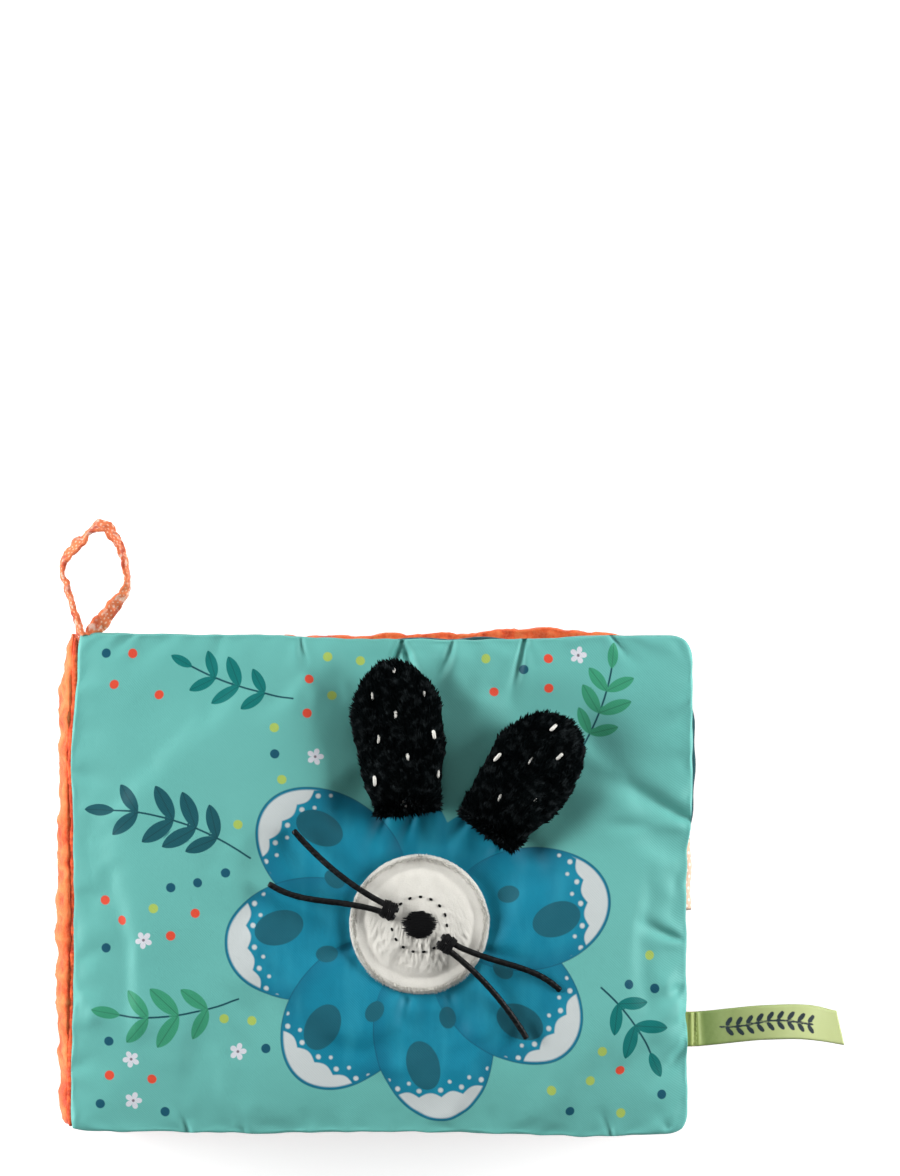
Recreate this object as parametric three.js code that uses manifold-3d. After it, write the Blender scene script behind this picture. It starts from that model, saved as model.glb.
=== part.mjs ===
// A soft fabric photo album for a baby, closed and lying on its back cover.
// +X runs from the spine to the fore edge, +Y to the head of the cover and +Z up out of the front cover.
// The origin is the middle of the flat face that the back cover rests on. Lengths are in millimetres.
import * as THREE from "three";
import Module from "manifold-3d";
import { mergeVertices } from "three/addons/utils/BufferGeometryUtils.js";

const wasm = await Module();
wasm.setup();

// Clearances
const seat = 0.3; // air between a sewn piece and what carries it
const seamGap = 0.3; // air between the two fabrics that meet in a cover's seam
const leafGap = 0.3; // air between leaves that lie on each other

// Photo pockets, open at the head
const photoWidth = 150;
const photoHeight = 100;
const windowSideSlack = 3; // from the print to the window's edge, all of it under the tape
const windowEndSlack = 2.5;
const windowThickness = 0.25;
const bindingWidth = 7; // the folded tape, from its outside edge to its inside edge
const bindingLip = 3; // how far the tape covers the window
const bindingCorner = 3;
const bindingThickness = 0.8;
const windowLift = 0.25; // from the fabric to the window, where the print slides in

// Leaves, each a fabric sleeve with wadding in it and a tongue that is sewn to the spine
const leafCount = 4;
const leafSideMargin = 12.5; // from the tape to the leaf's fore edge and to its spine edge
const leafHeadMargin = 22;
const leafCorner = 6;
const leafThickness = 3;
const leafFabric = 0.5;
const leafEdgeRound = 0.8;
const leafWaddingInset = 2.5;
const tongueThickness = 1.2;
const tongueSlot = 0.3;
const tongueInset = 3; // how much shorter than the leaf it is at the head and at the foot

// Covers
const coverForeMargin = 1; // from the leaves' fore edge out to the cover's
const coverSpineMargin = 10;
const coverHeadMargin = 2.5;
const coverCorner = 7;
const coverOuterRise = 5; // from the seam out to the flat of the outer fabric
const coverInnerRise = 4; // from the seam in to the flat of the lining
const coverOuterRoll = 24; // how far in from the seam the outer fabric goes flat
const coverLiningRoll = 12;
const coverFabric = 0.8;
const liningFabric = 0.6;
const foreEdgeDrawIn = 1.1; // the sides of a sewn cushion pull in between its corners
const headDrawIn = 0.8;
const backHeadBulge = 3.4; // the slack back cover shows past the head of the front cover
const backHeadBulgeX = 52;
const backHeadBulgeReach = 58;

// Spine
const spineGap = 0.5; // from the covers' seams to the spine's inside
const spineBulge = 4;
const spineFabric = 0.8;
const spineLining = 0.5;
const spineLiningInset = 2.2; // from the covers' seams to the edges of the spine's lining
const spineEndInset = 4; // how much shorter than the covers it is at the head and at the foot
const spineWaddingInset = 2.5;

// Flower on the front cover
const flowerX = 12;
const flowerY = -14;
const discRadius = 21.8;
const discRimHeight = 1.2;
const discDomeHeight = 3.4;
const discDomeFlat = 13.5; // radius of the flat on the dome
const discRim = 2; // width of the flat rim round the dome
const borderWidth = 1.2;
const borderHeight = 1.5;
const borderShoulder = 0.9; // height of its two sides, under the ridge
const knotRadius = 3.6;
const knotHeight = 1;

// Plush petals that lift
const petalFoot = 36; // from the flower's middle to the seam that a petal turns on
const petalWidth = 31;
const petalFootWidth = 18;
const petalWidest = 0.58; // share of the length where the petal is widest
const petalTab = 2.5; // bare lining between the hinge seam and the pile
const petalLining = 0.6;
const petalPile = 1.2;
const petalRim = 1;
const petalDome = 5.6;
const petalFootDome = 0.3; // share of the dome's height left where the foot is gathered
const petalFullFrom = 0.35; // share of the length where the dome has its whole height
const upperPetalLength = 50;
const sidePetalLength = 46;
const petals = [
  { name: "upper_petal", angle: 96, length: upperPetalLength },
  { name: "side_petal", angle: 54, length: sidePetalLength },
];

// Stamens of waxed cord, two from each stitched saddle
const cordDiameter = 2;
const cordSides = 8;
const stamenPairs = [
  { name: "left", angle: 155 },
  { name: "right", angle: -35 },
];
// Each point is the distance from the flower's middle, the offset to the side and the height over the cover.
const stamenOuterRoute = [
  [8, 1.3, 5.3], [11, 1.3, 5.3], [14, 1.5, 5.2], [17, 2, 5.1], [20, 2.7, 4.9],
  [23, 3.5, 4.6], [26, 4.4, 4.3], [29, 5.4, 3.9], [32, 6.4, 3.5], [35, 7.3, 3.1],
  [38, 8.1, 2.7], [41, 8.7, 2.3], [44, 9, 1.9], [47, 9, 1.6], [50, 8.7, 1.5],
];
const stamenInnerRoute = [
  [8, -1.3, 5.3], [11, -1.3, 5.3], [14, -1.4, 5.2], [17, -1.6, 5], [20, -1.9, 4.8],
  [23, -2.3, 4.4], [26, -2.8, 4], [29, -3.4, 3.6], [32, -4.1, 3.2], [35, -4.9, 2.8],
  [38, -5.8, 2.4], [41, -6.8, 2], [44, -7.9, 1.7], [47, -9.1, 1.5], [50, -10.4, 1.5],
];
const saddleStart = 10.5;
const saddleLength = 2.2;
const saddleWall = 0.8;
const saddleChamfer = 0.7;

// Ribbons
const loopWidth = 5.6;
const loopEndWidth = 2.4; // gathered where the seam takes its ends in
const loopGather = 0.14; // share of the strap that widens at each end
const loopThickness = 1.1;
const loopTwist = 62; // how far over the strap leans from standing on its edge, in degrees
// Points of the hanging loop, seen from the front and measured from the cover's upper corner at the spine.
const loopRoute = [
  [3.7, -0.3], [1.2, 4.2], [-1.5, 9.5], [-3.4, 14.6], [-3.9, 19.6], [-2.2, 24.6],
  [0.7, 29.2], [3.6, 32.9], [7, 34.8], [10.3, 33.8], [13, 30.4], [15, 26],
  [16.3, 21.4], [16.7, 17], [15.2, 12.4], [12.8, 8.2], [10.4, 4.2], [8.9, 0.45],
];
const labelWidth = 11.4;
const labelThickness = 0.5;
const labelY = -47.5;
// Points of the side label: distance past the fore edge, drift to the side and height over the seam.
const labelRoute = [
  [0.5, 0, 0], [4, 0.1, -0.5], [9, 0.4, -1.5], [15, 0.8, -2.3], [22, 1.4, -2.3],
  [29, 1.8, -1.3], [36, 1.9, 0.4], [43, 1.3, 2.3], [50, -0.2, 4.2],
];
const tabLeaf = 2; // the leaf that carries the pull tab, counted from the front
const tabY = 1.6;
const tabLength = 23.4;
const tabReach = 1.8; // how far the tab stands past the leaf's fore edge
const tabGrip = 7; // how far it covers the leaf's margin
const tabRibbon = 0.5;

// Mesh steps
const cornerSteps = 5;
const edgeSteps = 5;
const rollSteps = 5;
const waddingSteps = 3;
const petalSteps = 30;
const discSteps = 36;

// Outlines
const windowWidth = photoWidth + 2 * windowSideSlack;
const windowHeight = photoHeight + 2 * windowEndSlack;
const bindingOuterWidth = windowWidth + 2 * (bindingWidth - bindingLip);
const bindingOuterHeight = windowHeight + 2 * (bindingWidth - bindingLip);
const leafWidth = bindingOuterWidth + 2 * leafSideMargin;
const leafHeight = bindingOuterHeight + 2 * leafHeadMargin;
const tongueHeight = leafHeight - 2 * tongueInset;
const coverWidth = leafWidth + coverForeMargin + coverSpineMargin;
const coverHeight = leafHeight + 2 * coverHeadMargin;
const spineHeight = coverHeight - 2 * spineEndInset;
const leafForeEdgeX = coverWidth / 2 - coverForeMargin;
const leafSpineEdgeX = leafForeEdgeX - leafWidth;
const leafMiddleX = (leafForeEdgeX + leafSpineEdgeX) / 2;

// Levels
const coverThickness = coverOuterRise + coverInnerRise;
const pocketHeight = windowLift + bindingThickness;
const leafPitch = leafThickness + 2 * pocketHeight + leafGap;
const stackFoot = coverThickness + pocketHeight + leafGap;
const albumThickness = 2 * coverThickness + 2 * pocketHeight + leafGap + leafCount * leafPitch;
const backSeamZ = coverOuterRise;
const frontSeamZ = albumThickness - coverOuterRise;
const coverTop = albumThickness;
const spineInsideX = -coverWidth / 2 - spineGap;
const leafMiddleZ = (leaf) => stackFoot + (leafCount - leaf + 0.5) * leafPitch - leafGap / 2;

// Materials
const fabric = (color, roughness = 0.85) => new THREE.MeshStandardMaterial({ color, roughness, metalness: 0 });
const tealSatin = fabric("#74bfb4", 0.55);
const orangeCrinkle = fabric("#f27c48");
const wadding = fabric("#f1efe9", 0.95);
const darkTealCotton = fabric("#24596c");
const blackPlush = fabric("#16181a", 0.95);
const creamPlush = fabric("#d9d6ce", 0.95);
const whiteThread = fabric("#f2f1ec", 0.6);
const blackThread = fabric("#15181a", 0.5);
const blackCord = fabric("#131415", 0.45);
const orangeDots = fabric("#f0915f");
const greenSatin = fabric("#c3d685", 0.45);
const peachDots = fabric("#efb896", 0.7);
const clearVinyl = new THREE.MeshStandardMaterial({
  color: "#e8f2f4", roughness: 0.08, metalness: 0, transparent: true, opacity: 0.3,
});

const album = new THREE.Group();

function addPiece(name, geometry, material, parent = album) {
  const mesh = new THREE.Mesh(geometry, material);
  mesh.name = name;
  parent.add(mesh);
  return mesh;
}

// A closed body through rings of equal length, running counterclockwise. The first is capped facing down and the
// last facing up.
function loftRings(rings) {
  const count = rings[0].length;
  const positions = rings.flat().flatMap((point) => [point.x, point.y, point.z]);
  const faces = [];
  const cap = (ring) => THREE.ShapeUtils.triangulateShape(ring.map((p) => new THREE.Vector2(p.x, p.y)), []);
  const last = (rings.length - 1) * count;
  for (const [a, b, c] of cap(rings[0])) faces.push(c, b, a);
  for (const [a, b, c] of cap(rings.at(-1))) faces.push(last + a, last + b, last + c);
  for (let low = 0; low < last; low += count) {
    for (let i = 0; i < count; i++) {
      const j = (i + 1) % count;
      faces.push(low + i, low + j, low + count + j, low + i, low + count + j, low + count + i);
    }
  }
  const geometry = new THREE.BufferGeometry();
  geometry.setAttribute("position", new THREE.Float32BufferAttribute(positions, 3));
  geometry.setIndex(faces);
  geometry.computeVertexNormals();
  return geometry;
}

function toSolid(geometry) {
  const bare = new THREE.BufferGeometry();
  const loose = geometry.index ? geometry.toNonIndexed() : geometry;
  bare.setAttribute("position", loose.getAttribute("position"));
  const merged = mergeVertices(bare);
  return new wasm.Manifold(
    new wasm.Mesh({
      numProp: 3,
      vertProperties: merged.attributes.position.array,
      triVerts: new Uint32Array(merged.index.array),
    }),
  );
}

function toGeometry(solid) {
  const mesh = solid.getMesh();
  const geometry = new THREE.BufferGeometry();
  geometry.setAttribute("position", new THREE.BufferAttribute(mesh.vertProperties, 3));
  geometry.setIndex(new THREE.BufferAttribute(mesh.triVerts, 1));
  geometry.computeVertexNormals();
  return geometry;
}

// Counterclockwise points round a rectangle with round corners.
function roundedOutline(width, height, corner, between = 0, steps = cornerSteps) {
  const centres = [[1, -1], [1, 1], [-1, 1], [-1, -1]].map(([sx, sy]) => [
    sx * (width / 2 - corner),
    sy * (height / 2 - corner),
  ]);
  const points = [];
  centres.forEach(([cx, cy], k) => {
    for (let i = 0; i <= steps; i++) {
      const turn = ((k - 1) * Math.PI) / 2 + ((Math.PI / 2) * i) / steps;
      points.push({ x: cx + corner * Math.cos(turn), y: cy + corner * Math.sin(turn) });
    }
    const next = centres[(k + 1) % 4];
    const turn = (k * Math.PI) / 2;
    for (let i = 1; i <= between; i++) {
      const share = i / (between + 1);
      points.push({
        x: cx + (next[0] - cx) * share + corner * Math.cos(turn),
        y: cy + (next[1] - cy) * share + corner * Math.sin(turn),
      });
    }
  });
  return points;
}

function box(width, depth, height, x, y, z) {
  const geometry = new THREE.BoxGeometry(width, depth, height);
  geometry.translate(x, y, z);
  return geometry;
}

// Cover cushions
// The cover's outline with its drawn-in sides. The spine side stays straight, and bulge lets the head stand out.
function coverOutline(bulge) {
  const halfWidth = coverWidth / 2;
  const halfHeight = coverHeight / 2;
  return roundedOutline(coverWidth, coverHeight, coverCorner, edgeSteps).map(({ x, y }) => {
    const drawX = foreEdgeDrawIn * Math.max(0, x / halfWidth) * (1 - (y / halfHeight) ** 2);
    const drawY = headDrawIn * (y / halfHeight) * (1 - (x / halfWidth) ** 2);
    const phase = Math.min(1, Math.abs(x - backHeadBulgeX) / backHeadBulgeReach);
    const swell = bulge * Math.max(0, y / halfHeight) * Math.cos((phase * Math.PI) / 2) ** 2;
    return { x: x - drawX, y: y - drawY + swell };
  });
}

// The quarter ellipse from the seam to the flat: how far in from the seam, and how high over it.
function rollProfile(rise, roll, inset, start, steps = rollSteps) {
  return Array.from({ length: steps + 1 }, (_, k) => {
    const turn = ((Math.PI / 2) * k) / steps;
    return {
      inward: inset + (roll - inset) * (1 - Math.cos(turn)),
      height: start + (rise - start) * Math.sin(turn),
    };
  });
}

function insetRing(outline, inward, z) {
  const scaleX = (coverWidth / 2 - inward) / (coverWidth / 2);
  const scaleY = (coverHeight / 2 - inward) / (coverHeight / 2);
  return outline.map(({ x, y }) => ({ x: x * scaleX, y: y * scaleY, z }));
}

// One fabric of a cover, a shallow cup from the seam to its flat. up is 1 where it faces up and -1 where it faces down.
function coverSkin(outline, seamZ, up, rise, roll, thickness) {
  const ring = ({ inward, height }) => insetRing(outline, inward, seamZ + up * height);
  const outside = rollProfile(rise, roll, 0, seamGap / 2).map(ring);
  const inside = rollProfile(rise - thickness, roll, thickness, seamGap / 2).map(ring);
  return up > 0
    ? loftRings([...inside.reverse(), ...outside])
    : loftRings([...outside.reverse(), ...inside]);
}

// The wadding between a cover's two fabrics. outward is 1 where the outer fabric faces up.
function coverWadding(outline, seamZ, outward) {
  const inset = coverFabric + seat;
  const outer = rollProfile(coverOuterRise - coverFabric - seat, coverOuterRoll, inset, 0, waddingSteps);
  const inner = rollProfile(coverInnerRise - liningFabric - seat, coverLiningRoll, inset, 0, waddingSteps);
  const [above, below] = outward > 0 ? [outer, inner] : [inner, outer];
  const rings = [
    ...below.reverse().map(({ inward, height }) => insetRing(outline, inward, seamZ - height)),
    ...above.slice(1).map(({ inward, height }) => insetRing(outline, inward, seamZ + height)),
  ];
  return loftRings(rings);
}

function addCover(name, seamZ, outward, outerMaterial, bulge) {
  const outline = coverOutline(bulge);
  const outerSkin = coverSkin(outline, seamZ, outward, coverOuterRise, coverOuterRoll, coverFabric);
  const lining = coverSkin(outline, seamZ, -outward, coverInnerRise, coverLiningRoll, liningFabric);
  addPiece(`${name}_fabric`, outerSkin, outerMaterial);
  addPiece(`${name}_wadding`, coverWadding(outline, seamZ, outward), wadding);
  addPiece(`${name}_lining`, lining, darkTealCotton);
}

addCover("back_cover", backSeamZ, -1, orangeCrinkle, backHeadBulge);
addCover("front_cover", frontSeamZ, 1, tealSatin, 0);

// Photo pockets
// The folded tape round a window's two sides and foot, open at the head, with a rabbet that the window lies in.
function bindingGeometry() {
  const shape = new THREE.Shape(
    roundedOutline(bindingOuterWidth, bindingOuterHeight, bindingCorner, 0, 2).map(
      ({ x, y }) => new THREE.Vector2(x, y),
    ),
  );
  const tape = new THREE.ExtrudeGeometry(shape, { depth: bindingThickness, bevelEnabled: false });
  const openWidth = windowWidth - 2 * bindingLip;
  const openHeight = bindingOuterHeight - bindingWidth;
  const opening = box(openWidth, openHeight, 3 * bindingThickness, 0, bindingWidth, bindingThickness / 2);
  const rabbetDepth = windowThickness + seat / 2;
  const rabbetHeight = windowHeight + 2 * seat + bindingWidth;
  const rabbet = box(
    windowWidth + 2 * seat, rabbetHeight, 2 * rabbetDepth, 0, bindingWidth / 2, 0,
  );
  return toGeometry(toSolid(tape).subtract(toSolid(opening)).subtract(toSolid(rabbet)));
}

// A pocket on a fabric face at height z. up is 1 where the face looks up.
function addPocket(name, z, up) {
  const pocket = new THREE.Group();
  pocket.position.set(leafMiddleX, 0, z);
  pocket.rotation.y = up > 0 ? 0 : Math.PI;
  album.add(pocket);
  const pane = box(windowWidth, windowHeight, windowThickness, 0, 0, windowLift + windowThickness / 2);
  addPiece(`${name}_window`, pane, clearVinyl, pocket);
  const tape = bindingGeometry();
  tape.translate(0, 0, windowLift);
  addPiece(`${name}_binding`, tape, darkTealCotton, pocket);
}

addPocket("back_cover_pocket", coverThickness, 1);
addPocket("front_cover_pocket", albumThickness - coverThickness, -1);

// Leaves
function slab(width, height, corner, thickness, round) {
  const ring = (inset, z) =>
    roundedOutline(width - 2 * inset, height - 2 * inset, corner - inset).map(({ x, y }) => ({ x, y, z }));
  const half = thickness / 2;
  return loftRings([ring(round, -half), ring(0, round - half), ring(0, half - round), ring(round, half)]);
}

// The folded edge that is sewn to the spine, with a half round end on the line that the leaf turns on.
function tongueGeometry() {
  const radius = tongueThickness / 2;
  const tipX = spineInsideX + seat + radius;
  const rootX = leafSpineEdgeX + leafCorner;
  const profile = new THREE.Shape();
  profile.moveTo(tipX, radius);
  profile.absarc(tipX, 0, radius, Math.PI / 2, (3 * Math.PI) / 2, false);
  profile.lineTo(rootX, -radius);
  profile.lineTo(rootX, radius);
  const geometry = new THREE.ExtrudeGeometry(profile, { depth: tongueHeight, bevelEnabled: false, curveSegments: 6 });
  geometry.rotateX(Math.PI / 2);
  geometry.translate(0, tongueHeight / 2, 0);
  return geometry;
}

function leafSleeve() {
  const body = slab(leafWidth, leafHeight, leafCorner, leafThickness, leafEdgeRound);
  body.translate(leafMiddleX, 0, 0);
  const cavityWidth = leafWidth - 2 * leafWaddingInset + 2 * seat;
  const cavityHeight = leafHeight - 2 * leafWaddingInset + 2 * seat;
  const cavity = box(cavityWidth, cavityHeight, leafThickness - 2 * leafFabric, leafMiddleX, 0, 0);
  const slotStart = spineInsideX;
  const slotEnd = leafSpineEdgeX + leafCorner;
  const slotHeight = tongueHeight - 2 * leafWaddingInset;
  const slot = box(slotEnd - slotStart, slotHeight, tongueSlot, (slotStart + slotEnd) / 2, 0, 0);
  return toGeometry(
    toSolid(body).add(toSolid(tongueGeometry())).subtract(toSolid(cavity)).subtract(toSolid(slot)),
  );
}

function addLeaf(leaf) {
  const z = leafMiddleZ(leaf);
  const name = `page_${leaf}`;
  const place = new THREE.Group();
  place.position.z = z;
  album.add(place);
  addPiece(`${name}_sleeve`, leafSleeve(), darkTealCotton, place);
  const filling = box(
    leafWidth - 2 * leafWaddingInset,
    leafHeight - 2 * leafWaddingInset,
    leafThickness - 2 * leafFabric - 2 * seat,
    leafMiddleX, 0, 0,
  );
  addPiece(`${name}_wadding`, filling, wadding, place);
  addPocket(`${name}_front`, z + leafThickness / 2, 1);
  addPocket(`${name}_back`, z - leafThickness / 2, -1);
}

for (let leaf = 1; leaf <= leafCount; leaf++) addLeaf(leaf);

// Spine
// A strip along Y whose section runs through points of x and z, listed so that it is counterclockwise from -Y.
function stripAlongY(section, length) {
  const shape = new THREE.Shape(section.map(([x, z]) => new THREE.Vector2(x, z)));
  const geometry = new THREE.ExtrudeGeometry(shape, { depth: length, bevelEnabled: false });
  geometry.rotateX(Math.PI / 2);
  geometry.translate(0, length / 2, 0);
  return geometry;
}

// The arc that the spine bulges on, from its foot to its head, moved in by an inset. It ends where it comes within
// a given distance of the spine's inside.
function spineArc(inset, fromInside = 0) {
  const half = (frontSeamZ - backSeamZ) / 2 - inset;
  const depth = spineBulge - inset;
  const middle = (frontSeamZ + backSeamZ) / 2;
  const reach = Math.acos(fromInside / depth);
  const steps = 2 * rollSteps;
  return Array.from({ length: steps + 1 }, (_, k) => {
    const turn = reach * ((2 * k) / steps - 1);
    return [spineInsideX - depth * Math.cos(turn), middle + half * Math.sin(turn)];
  });
}

function addSpine() {
  const skin = [...spineArc(0), ...spineArc(spineFabric).reverse()];
  addPiece("spine_fabric", stripAlongY(skin, spineHeight), orangeCrinkle);
  const liningOutX = spineInsideX - spineLining;
  const foot = backSeamZ + spineLiningInset;
  const head = frontSeamZ - spineLiningInset;
  const strip = [[liningOutX, foot], [spineInsideX, foot], [spineInsideX, head], [liningOutX, head]];
  addPiece("spine_lining", stripAlongY(strip, spineHeight), darkTealCotton);
  const filling = spineArc(spineFabric + seat, spineLining + seat);
  addPiece("spine_wadding", stripAlongY(filling, spineHeight - 2 * spineWaddingInset), wadding);
}

addSpine();

// Flower disc, its stitched border and the knot in its middle
function circleRing(radius, z, steps = discSteps) {
  return Array.from({ length: steps }, (_, k) => {
    const turn = (2 * Math.PI * k) / steps;
    return { x: radius * Math.cos(turn), y: radius * Math.sin(turn), z };
  });
}

function discGeometry() {
  const dome = [0, 0.2, 0.45, 0.7, 0.88, 1].map((share) => {
    const radius = discDomeFlat + (discRadius - discRim - discDomeFlat) * (1 - share);
    const height = discRimHeight + (discDomeHeight - discRimHeight) * Math.sin((share * Math.PI) / 2);
    return circleRing(radius, height);
  });
  return loftRings([circleRing(discRadius, 0), circleRing(discRadius, discRimHeight), ...dome]);
}

function borderGeometry() {
  const inner = discRadius + seat;
  const outer = inner + borderWidth;
  const profile = [
    [inner, 0], [outer, 0], [outer, borderShoulder], [(inner + outer) / 2, borderHeight], [inner, borderShoulder],
    [inner, 0],
  ].map(([radius, height]) => new THREE.Vector2(radius, height));
  const geometry = new THREE.LatheGeometry(profile, discSteps);
  geometry.rotateX(Math.PI / 2);
  return geometry;
}

function knotGeometry() {
  const ring = (share, height) => circleRing(knotRadius * share, knotHeight * height, 18);
  return loftRings([ring(1, 0), ring(1, 0.4), ring(0.86, 0.8), ring(0.5, 1)]);
}

const flower = new THREE.Group();
flower.position.set(flowerX, flowerY, coverTop);
album.add(flower);
addPiece("flower_disc", discGeometry(), creamPlush, flower).position.z = seat;
addPiece("disc_border", borderGeometry(), whiteThread, flower).position.z = seat;
addPiece("disc_knot", knotGeometry(), blackThread, flower).position.z = 2 * seat + discDomeHeight;

// Plush petals
function petalHalfWidth(share) {
  const foot = petalFootWidth / 2;
  const widest = petalWidth / 2;
  if (share < petalWidest) return foot + (widest - foot) * Math.sin((Math.PI / 2) * (share / petalWidest));
  return widest * Math.sqrt(Math.max(0, 1 - ((share - petalWidest) / (1 - petalWidest)) ** 2));
}

// Counterclockwise points round a petal that starts on the seam and points along +X.
function petalOutline(start, length) {
  return Array.from({ length: petalSteps }, (_, k) => {
    const turn = (2 * Math.PI * (k + 0.5)) / petalSteps;
    const x = start + ((length - start) * (1 - Math.cos(turn))) / 2;
    return { x, y: -Math.sign(Math.sin(turn)) * petalHalfWidth(x / length) };
  });
}

function petalRing(outline, length, scale, heightAt) {
  const middle = length / 2;
  return outline.map(({ x, y }) => {
    const along = middle + (x - middle) * scale;
    return { x: along, y: y * scale, z: heightAt(along / length) };
  });
}

// How much of the dome's height a petal has at a share of its length, low where its foot is gathered.
function petalFullness(share) {
  const grown = Math.min(1, Math.max(0, share / petalFullFrom));
  return petalFootDome + (1 - petalFootDome) * Math.sin((grown * Math.PI) / 2);
}

// Rings up the dome of a petal from its rim, as scale and share of the height.
const domeSteps = [[1, 0], [0.96, 0.42], [0.88, 0.7], [0.74, 0.88], [0.5, 0.98], [0.25, 1]];

function addPetal({ name, angle, length }) {
  const petal = new THREE.Group();
  petal.rotation.z = THREE.MathUtils.degToRad(angle);
  petal.position.set(petalFoot * Math.cos(petal.rotation.z), petalFoot * Math.sin(petal.rotation.z), seat);
  flower.add(petal);

  const backing = petalOutline(0, length);
  const flat = (z) => backing.map(({ x, y }) => ({ x, y, z }));
  addPiece(`${name}_lining`, loftRings([flat(0), flat(petalLining)]), blackPlush, petal);

  const foot = petalLining + seat;
  const outline = petalOutline(petalTab, length);
  const dome = (thin) =>
    domeSteps.map(([scale, share]) =>
      petalRing(outline, length, scale * (1 - thin / (petalWidth / 2)), (along) => {
        const top = petalRim + petalDome * petalFullness(along) * share;
        return foot + top - thin;
      }),
    );
  const pileInside = petalPile;
  const outside = dome(0);
  const inside = dome(pileInside);
  const brim = (thin) => petalRing(outline, length, 1 - thin / (petalWidth / 2), () => foot);
  // The pile is a cup that opens down on to the lining.
  const cup = [...inside.slice(1).reverse(), brim(pileInside), brim(0), ...outside];
  addPiece(`${name}_pile`, loftRings(cup), blackPlush, petal);
  const gap = petalPile + seat;
  const filling = [brim(gap), ...dome(gap).slice(1)].map((ring) => ring.map((p) => ({ ...p, z: Math.max(p.z, foot) })));
  addPiece(`${name}_wadding`, loftRings(filling), wadding, petal);
}

petals.forEach(addPetal);

// Stamens of waxed cord and the saddles of thread that hold them
function stamenGeometry(route, angle) {
  const turn = THREE.MathUtils.degToRad(angle);
  const points = route.map(
    ([out, side, up]) =>
      new THREE.Vector3(
        out * Math.cos(turn) - side * Math.sin(turn),
        out * Math.sin(turn) + side * Math.cos(turn),
        up,
      ),
  );
  const section = new THREE.Shape(
    circleRing(cordDiameter / 2, 0, cordSides).map((p) => new THREE.Vector2(p.x, p.y)),
  );
  return new THREE.ExtrudeGeometry(section, {
    steps: route.length - 1,
    bevelEnabled: false,
    extrudePath: new THREE.CatmullRomCurve3(points),
  });
}

// An arch over the two cords, standing on the disc.
function saddleGeometry() {
  const cordRise = stamenOuterRoute[0][2];
  const reach = stamenOuterRoute[0][1] + cordDiameter / 2 + seat;
  const foot = 2 * seat + discDomeHeight;
  const ceiling = cordRise + cordDiameter / 2 + seat;
  const outer = reach + saddleWall;
  const shoulder = reach - saddleChamfer;
  const arch = new THREE.Shape(
    [
      [-outer, foot], [-reach, foot], [-reach, ceiling - saddleChamfer], [-shoulder, ceiling],
      [shoulder, ceiling], [reach, ceiling - saddleChamfer], [reach, foot], [outer, foot],
      [outer, ceiling], [shoulder, ceiling + saddleWall], [-shoulder, ceiling + saddleWall], [-outer, ceiling],
    ].map(([side, up]) => new THREE.Vector2(side, up)),
  );
  const geometry = new THREE.ExtrudeGeometry(arch, { depth: saddleLength, bevelEnabled: false });
  geometry.rotateX(Math.PI / 2);
  geometry.rotateZ(Math.PI / 2);
  geometry.translate(saddleStart, 0, 0);
  return geometry;
}

for (const { name, angle } of stamenPairs) {
  addPiece(`${name}_outer_stamen`, stamenGeometry(stamenOuterRoute, angle), blackCord, flower);
  addPiece(`${name}_inner_stamen`, stamenGeometry(stamenInnerRoute, angle), blackCord, flower);
  const saddle = addPiece(`${name}_stamen_saddle`, saddleGeometry(), blackThread, flower);
  saddle.rotation.z = THREE.MathUtils.degToRad(angle);
}

// Ribbons
// The corners of a strap's section, as its side and its face.
const strapCorners = [[-1, -1], [1, -1], [1, 1], [-1, 1]];

// A strap through points. It lies flat across the direction, and has the width, given for each share of its length.
function strapGeometry(points, acrossAt, widthAt, thickness) {
  const last = points.length - 1;
  const rings = points.map((point, k) => {
    const before = points[Math.max(k - 1, 0)];
    const after = points[Math.min(k + 1, last)];
    const along = new THREE.Vector3().subVectors(after, before).normalize();
    const across = acrossAt(k / last, along).clone();
    across.addScaledVector(along, -across.dot(along)).normalize();
    const halfWidth = widthAt(k / last) / 2;
    const normal = new THREE.Vector3().crossVectors(along, across);
    return strapCorners.map(([side, face]) =>
      new THREE.Vector3()
        .copy(point)
        .addScaledVector(across, side * halfWidth)
        .addScaledVector(normal, (face * thickness) / 2),
    );
  });
  const positions = rings.flat().flatMap((p) => [p.x, p.y, p.z]);
  const corners = strapCorners.length;
  const faces = [0, 2, 1, 0, 3, 2];
  const end = corners * last;
  faces.push(end, end + 1, end + 2, end, end + 2, end + 3);
  for (let low = 0; low < end; low += corners) {
    for (let i = 0; i < corners; i++) {
      const j = (i + 1) % corners;
      faces.push(low + i, low + j, low + corners + j, low + i, low + corners + j, low + corners + i);
    }
  }
  const geometry = new THREE.BufferGeometry();
  geometry.setAttribute("position", new THREE.Float32BufferAttribute(positions, 3));
  geometry.setIndex(faces);
  geometry.computeVertexNormals();
  return geometry;
}

const alongY = new THREE.Vector3(0, 1, 0);

function smoothRoute(points, steps) {
  return new THREE.CatmullRomCurve3(points).getSpacedPoints(steps);
}

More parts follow.
